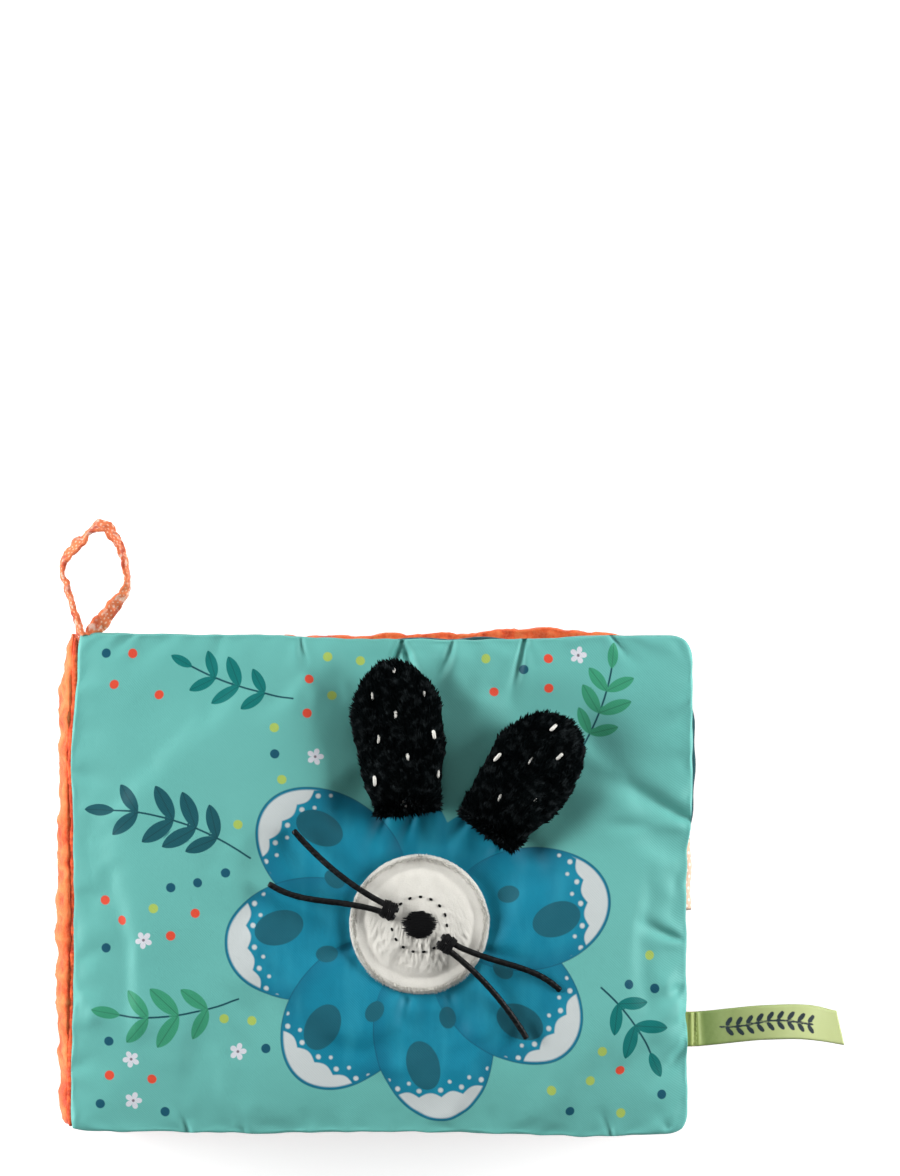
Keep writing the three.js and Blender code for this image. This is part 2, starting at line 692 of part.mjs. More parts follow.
// The loop leaves the head seam at the spine corner. It stands on its edge on two sides and lies flatter between.
function hangLoop() {
  const cornerX = -coverWidth / 2;
  const cornerY = coverHeight / 2;
  const points = loopRoute.map(([x, y]) => new THREE.Vector3(cornerX + x, cornerY + y, frontSeamZ));
  const up = new THREE.Vector3(0, 0, 1);
  return strapGeometry(
    smoothRoute(points, 30),
    (share, along) => {
      const sideways = new THREE.Vector3().crossVectors(along, up);
      const lean = THREE.MathUtils.degToRad(loopTwist) * Math.sin(2 * Math.PI * share) ** 2;
      return up.clone().multiplyScalar(Math.cos(lean)).addScaledVector(sideways, Math.sin(lean));
    },
    (share) => {
      const widened = Math.min(1, Math.min(share, 1 - share) / loopGather);
      return loopEndWidth + (loopWidth - loopEndWidth) * widened;
    },
    loopThickness,
  );
}

function sideLabel() {
  const edgeX = coverWidth / 2 - foreEdgeDrawIn * (1 - (labelY / (coverHeight / 2)) ** 2);
  const points = labelRoute.map(
    ([out, drift, rise]) => new THREE.Vector3(edgeX + out, labelY + drift, frontSeamZ + rise),
  );
  return strapGeometry(smoothRoute(points, 16), () => alongY, () => labelWidth, labelThickness);
}

// A ribbon folded round a leaf's fore edge, with its fold standing proud.
function pullTab() {
  const face = leafThickness / 2 + seat + tabRibbon / 2;
  const tip = leafForeEdgeX + tabReach - tabRibbon / 2;
  const side = [
    [leafForeEdgeX - tabGrip, face], [tip - 1.2, face], [tip - 0.4, face * 0.8], [tip, face * 0.35],
  ];
  const section = [...side, ...side.map(([x, z]) => [x, -z]).reverse()];
  const points = section.map(([x, z]) => new THREE.Vector3(x, tabY, z));
  return strapGeometry(points, () => alongY, () => tabLength, tabRibbon);
}

addPiece("hang_loop", hangLoop(), orangeDots);
addPiece("side_label", sideLabel(), greenSatin);
addPiece("page_pull_tab", pullTab(), peachDots).position.z = leafMiddleZ(tabLeaf);

export default album;
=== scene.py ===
import math
import random

import bpy
import numpy as np
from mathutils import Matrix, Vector, noise
from mathutils.bvhtree import BVHTree


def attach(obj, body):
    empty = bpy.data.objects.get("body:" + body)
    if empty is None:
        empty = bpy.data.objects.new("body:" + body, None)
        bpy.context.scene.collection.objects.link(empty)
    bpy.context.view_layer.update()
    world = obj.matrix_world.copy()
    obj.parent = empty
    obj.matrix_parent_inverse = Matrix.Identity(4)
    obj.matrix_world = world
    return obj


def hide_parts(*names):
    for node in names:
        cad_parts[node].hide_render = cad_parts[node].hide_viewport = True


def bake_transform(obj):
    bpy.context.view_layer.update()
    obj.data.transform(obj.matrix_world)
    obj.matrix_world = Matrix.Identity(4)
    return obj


# A soft fabric photo album, lying closed on its back cover. Sizes are in millimetres unless a name says not.

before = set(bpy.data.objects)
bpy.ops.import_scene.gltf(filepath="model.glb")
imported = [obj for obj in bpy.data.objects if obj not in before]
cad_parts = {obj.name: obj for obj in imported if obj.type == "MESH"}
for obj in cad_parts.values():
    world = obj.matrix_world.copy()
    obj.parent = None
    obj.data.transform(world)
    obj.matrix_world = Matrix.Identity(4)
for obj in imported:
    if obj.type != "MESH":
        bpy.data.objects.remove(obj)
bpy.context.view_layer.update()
scene = bpy.context.scene

MM = 0.001
UP = np.array([0.0, 0.0, 1.0])

# Photograph: its height in pixels, and where its middle lies on the front cover
PHOTO_HEIGHT = 1176
MM_PER_PIXEL = 0.3252
VIEW_X = 22.0
VIEW_Y = 95.3
CAMERA_HEIGHT = 2500
SENSOR = 36

# Levels of the closed album
BACK_SEAM_Z = 5.0
FRONT_SEAM_Z = 37.0
COVER_TOP = 42.0
PAGE_Z = {1: 29.1, 2: 23.7, 3: 18.3, 4: 12.9}

# Covers
COVER_WIDTH = 200.0
COVER_HEIGHT = 162.0
COVER_CORNER = 7.0
OUTER_RISE = 5.0
OUTER_ROLL = 24.0
LINING_RISE = 4.0
LINING_ROLL = 12.0
FABRIC = 0.5

# Pages
PAGE_WIDTH = 189.0
PAGE_HEIGHT = 157.0
PAGE_CORNER = 6.0
PAGE_X = 4.5
PAGE_HALF = 2.4
PAGE_POCKET_HALF = 1.4
PAGE_ROLL = 5.0
POCKET_WIDTH = 164.0
POCKET_HEIGHT = 113.0
TAPE_WIDTH = 7.0
TAPE_THICK = 0.8

# Flower
FLOWER = np.array([12.0, -14.0])
DISC_RADIUS = 21.8
PETAL_FOOT = 36.0
PLUSH_PETALS = {"upper_petal": (96.0, 50.0), "side_petal": (54.0, 46.0)}

# Cords: distance from the flower's middle, offset to the side and height over the cover, as in the model
CORD_DIAMETER = 2.0
CORD_PAIRS = {"left": 155.0, "right": -35.0}
CORD_ROUTES = {
    "outer": [
        (8, 1.3, 5.3), (11, 1.3, 5.3), (14, 1.5, 5.2), (17, 2, 5.1), (20, 2.7, 4.9),
        (23, 3.5, 4.6), (26, 4.4, 4.3), (29, 5.4, 3.9), (32, 6.4, 3.5), (35, 7.3, 3.1),
        (38, 8.1, 2.7), (41, 8.7, 2.3), (44, 9, 1.9), (47, 9, 1.6), (50, 8.7, 1.5),
    ],
    "inner": [
        (8, -1.3, 5.3), (11, -1.3, 5.3), (14, -1.4, 5.2), (17, -1.6, 5), (20, -1.9, 4.8),
        (23, -2.3, 4.4), (26, -2.8, 4), (29, -3.4, 3.6), (32, -4.1, 3.2), (35, -4.9, 2.8),
        (38, -5.8, 2.4), (41, -6.8, 2), (44, -7.9, 1.7), (47, -9.1, 1.5), (50, -10.4, 1.5),
    ],
}
SADDLE_START = 10.5


# Mesh helpers

def clamp(value, low=0.0, high=1.0):
    return np.minimum(np.maximum(value, low), high)


def smooth_step(value):
    share = clamp(value)
    return share * share * (3 - 2 * share)


def set_field(mesh, name, values):
    """Keeps a number or a vector for each point of a mesh, for a material or a node tree to read."""
    values = np.asarray(values, np.float32)
    kind, slot = ("FLOAT_VECTOR", "vector") if values.ndim == 2 else ("FLOAT", "value")
    field = mesh.attributes.get(name) or mesh.attributes.new(name, kind, "POINT")
    field.data.foreach_set(slot, values.ravel())


def get_field(mesh, name):
    values = np.empty(3 * len(mesh.vertices), np.float32)
    mesh.attributes[name].data.foreach_get("vector", values)
    return values.reshape(-1, 3).astype(float)


def points_of(mesh):
    points = np.empty(3 * len(mesh.vertices), np.float32)
    mesh.vertices.foreach_get("co", points)
    return points.reshape(-1, 3).astype(float) / MM


def move_points(mesh, points):
    mesh.vertices.foreach_set("co", (points * MM).astype(np.float32).ravel())
    mesh.update()


def make_object(name, points, faces, materials=(), fields=None, edges=()):
    mesh = bpy.data.meshes.new(name)
    mesh.from_pydata((np.asarray(points, float) * MM).tolist(), list(edges), list(faces))
    mesh.shade_smooth()
    for material in materials:
        mesh.materials.append(material)
    for field, values in (fields or {}).items():
        set_field(mesh, field, values)
    obj = bpy.data.objects.new(name, mesh)
    scene.collection.objects.link(obj)
    return obj


def evaluated(obj):
    return obj.evaluated_get(bpy.context.evaluated_depsgraph_get())


def baked(obj):
    """Applies an object's modifiers to its mesh."""
    mesh = bpy.data.meshes.new_from_object(evaluated(obj))
    obj.modifiers.clear()
    obj.data = mesh
    return obj


def subdivided(obj, levels=1):
    smooth = obj.modifiers.new("smooth", "SUBSURF")
    smooth.levels = levels
    smooth.render_levels = levels
    return baked(obj)


def thickened(obj, thickness):
    """Gives an open fabric its thickness, on its inner side."""
    solid = obj.modifiers.new("fabric", "SOLIDIFY")
    solid.thickness = thickness * MM
    solid.offset = -1
    return baked(obj)


def noise_at(points, size, seed=0, ridged=False):
    """Smooth noise from -1 to 1 whose bumps are about size across; ridged noise has sharp crests."""
    shift = Vector((seed * 17.3, seed * 5.1, seed * 9.7))
    values = np.array([noise.noise(Vector(p) / size + shift) for p in np.asarray(points, float)])
    return 1 - 4 * np.abs(values) if ridged else 2 * values


def through(points, count):
    """Equally spaced points on a smooth curve through the given ones."""
    given = np.asarray(points, float)
    padded = np.vstack([2 * given[0] - given[1], given, 2 * given[-1] - given[-2]])
    share = np.linspace(0, 1, 16, endpoint=False)[:, None]
    curve = []
    for a, b, c, d in zip(padded, padded[1:], padded[2:], padded[3:]):
        square, cube = share**2, share**3
        curve.append(
            b + 0.5 * ((c - a) * share + (2 * a - 5 * b + 4 * c - d) * square + (3 * b - a - 3 * c + d) * cube)
        )
    return spaced(np.vstack([*curve, given[-1:]]), count)


def spaced(points, count, closed=False):
    """Equally spaced points along a polyline."""
    line = np.vstack([points, points[:1]]) if closed else np.asarray(points, float)
    along = run_of(line)
    stops = np.linspace(0, along[-1], count, endpoint=not closed)
    return np.column_stack([np.interp(stops, along, line[:, k]) for k in range(line.shape[1])])


def run_of(path):
    """How far along a path each of its points lies."""
    return np.concatenate([[0], np.cumsum(np.linalg.norm(np.diff(path, axis=0), axis=1))])


def raised(flat, height=0.0):
    """Flat points at a height, which is one number or one for each."""
    return np.column_stack([flat, np.broadcast_to(height, len(flat))])


def unit(vectors):
    vectors = np.asarray(vectors, float)
    return vectors / np.maximum(np.linalg.norm(vectors, axis=-1, keepdims=True), 1e-9)


def ahead_of(angle):
    return np.array([math.cos(math.radians(angle)), math.sin(math.radians(angle))])


def flower_axes(angle):
    """The flower's middle on the cover, and the directions ahead and sideways at an angle in degrees."""
    ahead = np.array([*ahead_of(angle), 0])
    return np.array([*FLOWER, COVER_TOP]), ahead, np.array([-ahead[1], ahead[0], 0])


def grid_quads(grid):
    """Faces between the points of a grid."""
    return np.stack([grid[:-1, :-1], grid[1:, :-1], grid[1:, 1:], grid[:-1, 1:]], axis=-1).reshape(-1, 4)


def grid_rim(grid):
    """The points round a grid's edge."""
    return [int(k) for k in (*grid[:-1, 0], *grid[-1, :-1], *grid[:0:-1, -1], *grid[0, :0:-1])]


def skin(rings):
    """A closed skin over rings that run counterclockwise, seen from the last one's side."""
    rings = np.asarray(rings, float)
    count, sides = rings.shape[:2]
    last, first_end, last_end = (count - 1) * sides, count * sides, count * sides + 1
    around = [(k, (k + 1) % sides) for k in range(sides)]
    faces = [
        (low + i, low + j, low + sides + j, low + sides + i)
        for low in range(0, last, sides) for i, j in around
    ]
    for i, j in around:
        faces += [(j, i, first_end), (last + i, last + j, last_end)]
    return np.vstack([rings.reshape(-1, 3), rings[0].mean(0), rings[-1].mean(0)]), faces


def own_places(along, across):
    """Each skin point's place on its strip's own cloth: along it, and across or round it."""
    own = np.column_stack([np.repeat(along, across.shape[1]), across.ravel(), np.zeros(across.size)])
    return np.vstack([own, own[:2]])


def tube_rings(path, radius, sides):
    """Rings round a path. radius is one number or one for each point of the path."""
    path = np.asarray(path, float)
    along = unit(np.gradient(path, axis=0))
    radius = np.broadcast_to(radius, len(path))
    across = unit(np.cross(along[0], UP if abs(along[0][2]) < 0.9 else [1.0, 0, 0]))
    turns = 2 * np.pi * np.arange(sides) / sides
    rings = []
    for point, heading, size in zip(path, along, radius):
        across = unit(across - np.dot(across, heading) * heading)
        upward = np.cross(heading, across)
        ring = np.cos(turns)[:, None] * across + np.sin(turns)[:, None] * upward
        rings.append(point + size * ring)
    return np.array(rings)


def joined(parts):
    """One list of points and one of faces from several."""
    points, faces, start = [], [], 0
    for part_points, part_faces in parts:
        points.append(part_points)
        faces.extend(tuple(k + start for k in face) for face in part_faces)
        start += len(part_points)
    return np.vstack(points), faces


def strip_rings(path, across, width, thickness, columns):
    """Rings of a flat strip with round edges: across is its width's direction at each point of the path."""
    path = np.asarray(path, float)
    along = unit(np.gradient(path, axis=0))
    across = unit(across - np.sum(across * along, axis=1, keepdims=True) * along)
    normal = np.cross(along, across)
    width = np.broadcast_to(width, len(path))
    side = np.linspace(-1, 1, columns)
    section = [(s, -1.0) for s in side[1:-1]] + [(1, 0.0)] + [(s, 1.0) for s in side[-2:0:-1]] + [(-1, 0.0)]
    section = np.array(section)
    rings = path[:, None] + across[:, None] * (section[None, :, :1] * width[:, None, None] / 2)
    return rings + normal[:, None] * section[None, :, 1:] * thickness / 2


def drop_on(path, obj, above):
    """Puts points on a surface: above is 1 to fall on it from above and -1 to rise to it from below."""
    tree = BVHTree.FromObject(obj, bpy.context.evaluated_depsgraph_get())
    placed = []
    for x, y in np.asarray(path, float)[:, :2]:
        hit = tree.ray_cast(Vector((x * MM, y * MM, above * 0.3)), Vector((0, 0, -above)))
        placed.append((x, y, hit[0].z / MM if hit[0] else np.nan))
    placed = np.array(placed)
    missing = np.isnan(placed[:, 2])
    if missing.any() and not missing.all():
        placed[missing, 2] = np.interp(np.flatnonzero(missing), np.flatnonzero(~missing), placed[~missing, 2])
    return placed


# Node helpers

def srgb(red, green, blue):
    """A colour as it looks, from 0 to 255, as the shader wants it."""
    def linear(value):
        share = value / 255
        return share / 12.92 if share <= 0.04045 else ((share + 0.055) / 1.055) ** 2.4
    return (linear(red), linear(green), linear(blue), 1.0)


def socket(sockets, key):
    """A node's socket by its place, or by its name among those in use."""
    if isinstance(key, int):
        return sockets[key]
    return next(s for s in sockets if s.enabled and s.name == key)


def add(tree, kind, inputs=None, **settings):
    node = tree.nodes.new(kind)
    for key, value in settings.items():
        setattr(node, key, value)
    for key, value in (inputs or {}).items():
        target = socket(node.inputs, key)
        if isinstance(value, bpy.types.NodeSocket):
            tree.links.new(value, target)
        else:
            target.default_value = value
    return node


def calc(tree, operation, a, b=0.0):
    return add(tree, "ShaderNodeMath", {0: a, 1: b}, operation=operation).outputs[0]


def vector_calc(tree, operation, a, b):
    """A vector with another one, or with the number that scales it."""
    key = "Scale" if operation == "SCALE" else 1
    return add(tree, "ShaderNodeVectorMath", {0: a, key: b}, operation=operation).outputs[0]


def split(tree, vector):
    return add(tree, "ShaderNodeSeparateXYZ", {0: vector}).outputs


def length_of(tree, x, y):
    """How far a place is from its middle."""
    place = add(tree, "ShaderNodeCombineXYZ", {0: x, 1: y}).outputs[0]
    return add(tree, "ShaderNodeVectorMath", {0: place}, operation="LENGTH").outputs["Value"]


def blend_colour(tree, share, a, b):
    return add(tree, "ShaderNodeMix", {0: share, 6: a, 7: b}, data_type="RGBA").outputs[2]


def span(tree, value, low, high, to_low=0.0, to_high=1.0):
    """Moves a value from one range to another and stops it at the ends."""
    inputs = {"Value": value, "From Min": low, "From Max": high, "To Min": to_low, "To Max": to_high}
    return add(tree, "ShaderNodeMapRange", inputs).outputs["Result"]


def field(tree, name, output="Fac"):
    return add(tree, "ShaderNodeAttribute", attribute_name=name).outputs[output]


def object_mm(tree):
    place = add(tree, "ShaderNodeTexCoord").outputs["Object"]
    return vector_calc(tree, "MULTIPLY", place, (1 / MM,) * 3)


def cloudy(tree, place, size, detail=2.0, roughness=0.5):
    """Noise from 0 to 1 with bumps about size across."""
    inputs = {"Vector": place, "Scale": 1 / size, "Detail": detail, "Roughness": roughness}
    return add(tree, "ShaderNodeTexNoise", inputs).outputs["Fac"]


def bumped(tree, height, depth, normal=None):
    """A bump of a depth in millimetres, over another one if there is one."""
    inputs = {"Height": height, "Distance": depth * MM, "Strength": 1.0}
    if normal is not None:
        inputs["Normal"] = normal
    return add(tree, "ShaderNodeBump", inputs).outputs["Normal"]


def threads(tree, place, pitch, axis):
    """Parallel threads across one axis, from 0 in the gaps to 1 on their crests."""
    inputs = {"Vector": place, "Scale": math.pi / 10 / pitch, "Distortion": 0.35, "Detail": 1.0}
    node = add(tree, "ShaderNodeTexWave", inputs, wave_type="BANDS", bands_direction=axis)
    return node.outputs["Fac"]


def new_material(name, colour, roughness, sheen=0.0, specular=0.35):
    material = bpy.data.materials.new(name)
    material.use_nodes = True
    tree = material.node_tree
    shader = tree.nodes["Principled BSDF"]
    shader.inputs["Base Color"].default_value = colour
    shader.inputs["Roughness"].default_value = roughness
    shader.inputs["Specular IOR Level"].default_value = specular
    shader.inputs["Sheen Weight"].default_value = sheen
    shader.inputs["Sheen Roughness"].default_value = 0.4
    material.diffuse_color = colour
    return material, tree, shader


def paint(tree, shader, colour=None, normal=None, roughness=None):
    for name, value in (("Base Color", colour), ("Normal", normal), ("Roughness", roughness)):
        if value is not None:
            tree.links.new(value, shader.inputs[name])


# Materials

def woven_cotton(name, light, dark, pitch=0.45, printed=None, sheen=0.25):
    """Plain weave, with slightly uneven dye. printed is a function that adds a print to the colour."""
    material, tree, shader = new_material(name, light, 0.85, sheen=sheen, specular=0.25)
    place = object_mm(tree)
    weave = calc(tree, "MAXIMUM", threads(tree, place, pitch, "X"), threads(tree, place, pitch * 1.07, "Y"))
    uneven = cloudy(tree, place, 9.0, detail=4.0)
    colour = blend_colour(tree, uneven, dark, light)
    if printed:
        colour = printed(tree, colour)
    # Painted shade: the gaps between the threads are darkened.
    colour = blend_colour(tree, span(tree, weave, 0, 1, 0.16, 0), colour, (0, 0, 0, 1))
    slubs = cloudy(tree, place, 2.2, detail=3.0)
    normal = bumped(tree, slubs, 0.12, normal=bumped(tree, weave, 0.07))
    paint(tree, shader, colour, normal)
    return material


def dot_print(pitch, radius, colour):
    """Staggered dots on the fabric's own coordinates, in millimetres."""
    def add_dots(tree, ground):
        def off_middle(count, step):
            return calc(tree, "MULTIPLY", calc(tree, "SUBTRACT", calc(tree, "FRACT", count), 0.5), step)

        place = field(tree, "cloth", "Vector")
        along, up, _ = split(tree, place)
        row_height = pitch * 0.8
        rows = calc(tree, "DIVIDE", up, row_height)
        shift = calc(tree, "MULTIPLY", calc(tree, "FLOORED_MODULO", calc(tree, "FLOOR", rows), 2.0), 0.5)
        columns = calc(tree, "ADD", calc(tree, "DIVIDE", along, pitch), shift)
        distance = length_of(tree, off_middle(columns, pitch), off_middle(rows, row_height))
        ragged = calc(tree, "ADD", distance, span(tree, cloudy(tree, place, 0.6), 0, 1, -0.12, 0.12))
        return blend_colour(tree, span(tree, ragged, radius + 0.08, radius - 0.08), ground, colour)
    return add_dots


INK = {
    "pale": srgb(202, 210, 210),
    "leaf": (srgb(20, 92, 102), srgb(60, 160, 122), srgb(0, 122, 118)),
    "dot": (srgb(226, 78, 54), srgb(172, 198, 96), srgb(14, 84, 106)),
    "star": srgb(218, 220, 228),
}
PRINTED_ANGLES = [141.4, 186.9, 232.3, 277.7, 323.1, 8.6]
PRINTED_REACH = 63.0
# Scallops along half of the flower's edge
SCALLOPS = 24.0


def printed_satin():
    """The front cover's teal satin with its print. Each motif is drawn from the places kept by add_print."""
    material, tree, shader = new_material("teal_satin", srgb(102, 181, 173), 0.55, sheen=0.08, specular=0.25)
    cloth = field(tree, "cloth", "Vector")
    broad = cloudy(tree, cloth, 55.0)
    colour = blend_colour(tree, broad, srgb(98, 178, 170), srgb(111, 189, 181))

    def times(a, b):
        return calc(tree, "MULTIPLY", a, b)

    def minus(a, b):
        return calc(tree, "SUBTRACT", a, b)

    def inside(distance, soft=0.14):
        return span(tree, distance, soft, -soft)

    def line(value, half, soft=0.12):
        return inside(minus(calc(tree, "ABSOLUTE", value), half), soft)

    # Big flower: a wash of blue, darker towards each petal's edge, with pale scalloped tips and rows of dots
    wash = cloudy(tree, cloth, 13.0, detail=5.0, roughness=0.6)
    blue = blend_colour(tree, wash, srgb(0, 112, 140), srgb(10, 146, 176))
    streaks = add(tree, "ShaderNodeMapping", {"Vector": cloth, "Scale": (1.0, 0.25, 1.0)}).outputs[0]
    streaks = span(tree, cloudy(tree, streaks, 7.0, 3.0), 0.45, 0.8, 0, 0.5)
    blue = blend_colour(tree, streaks, blue, srgb(48, 166, 192))
    x, y, _ = split(tree, vector_calc(tree, "SUBTRACT", cloth, (*FLOWER, 0)))
    radius = length_of(tree, x, y)
    turn = calc(tree, "ARCTAN2", y, x)
    scallops = calc(tree, "ABSOLUTE", calc(tree, "SINE", times(turn, SCALLOPS)))
    tip = inside(minus(PRINTED_REACH - 7.4, calc(tree, "ADD", radius, times(scallops, 1.5))), 0.25)
    for row, size, shift in ((9.7, 0.78, 0.5), (12.0, 0.6, 0.0)):
        column = calc(tree, "ADD", times(turn, SCALLOPS / math.pi), shift)
        side = times(minus(calc(tree, "FRACT", column), 0.5), 52 * math.pi / SCALLOPS)
        spot = length_of(tree, side, minus(radius, PRINTED_REACH - row))
        tip = calc(tree, "MAXIMUM", tip, inside(minus(spot, size), 0.25))
    colour = blend_colour(tree, inside(field(tree, "core")), colour, blue)
    drawn = span(tree, radius, 22, 30, 0, 0.55)
    for k in range(len(PRINTED_ANGLES)):
        edge = field(tree, f"petal_{k}")
        petal = blend_colour(tree, span(tree, edge, -6.0, 0.0, 0, 0.6), blue, srgb(0, 98, 128))
        petal = blend_colour(tree, times(tip, inside(calc(tree, "ADD", edge, 0.9), 0.3)), petal, INK["pale"])
        colour = blend_colour(tree, inside(edge), colour, petal)
        colour = blend_colour(tree, times(line(edge, 0.16), drawn), colour, srgb(8, 74, 98))
    oval = blend_colour(tree, wash, srgb(14, 88, 106), srgb(26, 106, 122))
    colour = blend_colour(tree, inside(field(tree, "oval")), colour, oval)

    # Sprigs, dots and stars
    stem = times(line(field(tree, "stem_side"), 0.3), inside(minus(field(tree, "stem_near"), 1.2)))
    colour = blend_colour(tree, stem, colour, srgb(14, 74, 84))
    along, across, kind = split(tree, field(tree, "leaf", "Vector"))
    across = calc(tree, "ABSOLUTE", across)
    full = times(times(along, minus(1.0, along)), 4.0)
    half = times(calc(tree, "POWER", calc(tree, "MAXIMUM", full, 0.0), 0.75), 0.205)
    blade = times(inside(times(minus(across, half), 10.0), 0.1), inside(field(tree, "leaf_near")))
    veins = calc(tree, "FRACT", times(minus(along, times(across, 1.1)), 6.0))
    veins = line(times(minus(veins, 0.5), 1.9), 0.02, 0.1)
    veins = calc(tree, "MAXIMUM", line(times(across, 10.0), 0.12, 0.1), times(veins, 0.5))
    for k, ink in enumerate(INK["leaf"], 1):
        shade, shadow = (tuple(share * c for c in ink[:3]) + (1,) for share in (0.8, 0.55))
        painted = blend_colour(tree, veins, blend_colour(tree, wash, shade, ink), shadow)
        colour = blend_colour(tree, times(blade, calc(tree, "COMPARE", kind, k)), colour, painted)
    dot_x, dot_y, kind = split(tree, field(tree, "dot", "Vector"))
    dot = inside(minus(length_of(tree, dot_x, dot_y), 1.5))
    for k, ink in enumerate(INK["dot"], 1):
        colour = blend_colour(tree, times(dot, calc(tree, "COMPARE", kind, k)), colour, ink)
    star_x, star_y, shown = split(tree, field(tree, "star", "Vector"))
    far = length_of(tree, star_x, star_y)
    arms = calc(tree, "ABSOLUTE", calc(tree, "COSINE", times(calc(tree, "ARCTAN2", star_y, star_x), 2.5)))
    reach = calc(tree, "ADD", times(calc(tree, "POWER", arms, 0.6), 1.9), 0.85)
    star = times(inside(minus(far, reach)), calc(tree, "COMPARE", shown, 1.0))
    colour = blend_colour(tree, star, colour, INK["star"])
    colour = blend_colour(tree, times(inside(minus(far, 0.45)), star), colour, srgb(120, 112, 122))

    weave = threads(tree, cloth, 0.42, "DIAGONAL")
    # Painted shade: the gaps between the threads are darkened a little.
    colour = blend_colour(tree, span(tree, weave, 0, 1, 0.05, 0), colour, (0, 0, 0, 1))
    normal = bumped(tree, cloudy(tree, cloth, 3.5, detail=3.0), 0.1, bumped(tree, weave, 0.02))
    paint(tree, shader, colour, normal, span(tree, broad, 0, 1, 0.5, 0.6))
    return material


def crinkled_cotton():
    """Orange crepe with painted light and shade: lighter on its crests and darker in its valleys, from the
    crinkle field.
    """
    material, tree, shader = new_material("orange_crinkle", srgb(240, 115, 65), 0.85, sheen=0.3, specular=0.2)
    place = object_mm(tree)
    crest_light_shade = field(tree, "crinkle")
    colour = blend_colour(tree, span(tree, crest_light_shade, -0.9, 0.0), srgb(204, 62, 36), srgb(245, 100, 52))
    colour = blend_colour(tree, span(tree, crest_light_shade, 0.0, 1.0), colour, srgb(255, 138, 82))
    # Painted highlights: small flecks lighter where the fine bump stands highest.
    fine = cloudy(tree, place, 0.9, detail=3.0, roughness=0.65)
    colour = blend_colour(tree, span(tree, fine, 0.4, 0.75, 0, 0.3), colour, srgb(255, 168, 110))
    weave = calc(tree, "MAXIMUM", threads(tree, place, 0.4, "X"), threads(tree, place, 0.4, "Y"))
    normal = bumped(tree, fine, 0.28, normal=bumped(tree, weave, 0.05))
    paint(tree, shader, colour, normal)
    return material


def plush(name, light, dark, roughness=0.7, sheen=0.15, specular=0.25, patchy=False):
    """Pile: strands are painted lighter towards their tips, everywhere or only in patches: painted highlights.
    """
    material, tree, shader = new_material(name, light, roughness, sheen=sheen, specular=specular)
    place = object_mm(tree)
    fine = cloudy(tree, place, 0.35, detail=1.0)
    tip = field(tree, "tip")
    if patchy:
        # Painted highlights: only in patches, at the strands' tips.
        shade = calc(tree, "MULTIPLY", span(tree, cloudy(tree, place, 2.4, 3.0), 0.5, 0.8), tip)
    else:
        # Painted highlights towards the tips, over random tone; the fine bump's crests are painted a little
        # lighter too.
        shade = span(tree, calc(tree, "ADD", cloudy(tree, place, 3.2, 3.0), fine), 0.65, 1.35)
        shade = calc(tree, "ADD", calc(tree, "MULTIPLY", shade, 0.4), calc(tree, "MULTIPLY", tip, 0.6))
    paint(tree, shader, blend_colour(tree, shade, dark, light), bumped(tree, fine, 0.12))
    return material


def thread(name, light, dark, roughness=0.5, specular=0.4):
    material, tree, shader = new_material(name, light, roughness, specular=specular)
    place = object_mm(tree)
    ply = cloudy(tree, place, 0.45, detail=2.0)
    # Painted light: each thread is painted lighter where its ply stands highest.
    paint(tree, shader, blend_colour(tree, ply, dark, light), bumped(tree, ply, 0.12))
    return material


def waxed_cord():
    """Black cord: two twisted, waxed plies whose twist follows it. Lighter patches: wear and painted
    highlights.
    """
    material, tree, shader = new_material("black_cord", srgb(12, 12, 13), 0.42, specular=0.22)
    along, around, _ = split(tree, field(tree, "cloth", "Vector"))
    twist = calc(tree, "ADD", calc(tree, "MULTIPLY", along, 1.7), around)
    ply = calc(tree, "SINE", calc(tree, "MULTIPLY", twist, 2.0))
    place = object_mm(tree)
    # Lighter patches, partly wear and partly painted highlights.
    wear_and_highlight = cloudy(tree, place, 1.4, detail=4.0)
    colour = blend_colour(tree, span(tree, wear_and_highlight, 0.5, 0.8), srgb(7, 7, 8), srgb(34, 35, 37))
    normal = bumped(tree, ply, 0.035, normal=bumped(tree, cloudy(tree, place, 0.25), 0.04))
    paint(tree, shader, colour, normal, span(tree, wear_and_highlight, 0.3, 0.8, 0.36, 0.55))
    return material


def satin_ribbon():
    """Green satin with woven edges, painted shade and highlights, and a plain running sprig in dark thread
    along its middle.
    """
    material, tree, shader = new_material(
        "green_satin_ribbon", srgb(195, 212, 130), 0.42, sheen=0.2, specular=0.45
    )
    own = field(tree, "cloth", "Vector")
    along, side, _ = split(tree, own)
    # Painted shade and sheen: darker towards the sewn end beside the cover, lighter towards the free end.
    colour = blend_colour(tree, span(tree, along, 6, 44), srgb(112, 140, 68), srgb(220, 232, 162))
    # Painted highlight on the fold ridges next to the seam.
    colour = blend_colour(tree, span(tree, along, 4.5, 8.0), srgb(176, 194, 108), colour)
    sprig = field(tree, "sprig")
    ragged = calc(tree, "ADD", sprig, span(tree, cloudy(tree, own, 0.8), 0, 1, -0.18, 0.18))
    colour = blend_colour(tree, span(tree, ragged, 0.12, -0.12), colour, srgb(30, 48, 58))
    ribs = threads(tree, own, 0.38, "X")
    edge = span(tree, calc(tree, "ABSOLUTE", side), 5.0, 5.5)
    colour = blend_colour(tree, calc(tree, "MULTIPLY", edge, 0.35), colour, srgb(120, 150, 70))
    # Painted shade: the gaps between the ribs are darkened.
    colour = blend_colour(tree, span(tree, ribs, 0, 1, 0.1, 0), colour, (0, 0, 0, 1))
    paint(tree, shader, colour, bumped(tree, ribs, 0.03, normal=bumped(tree, cloudy(tree, own, 2.5), 0.1)))
    return material


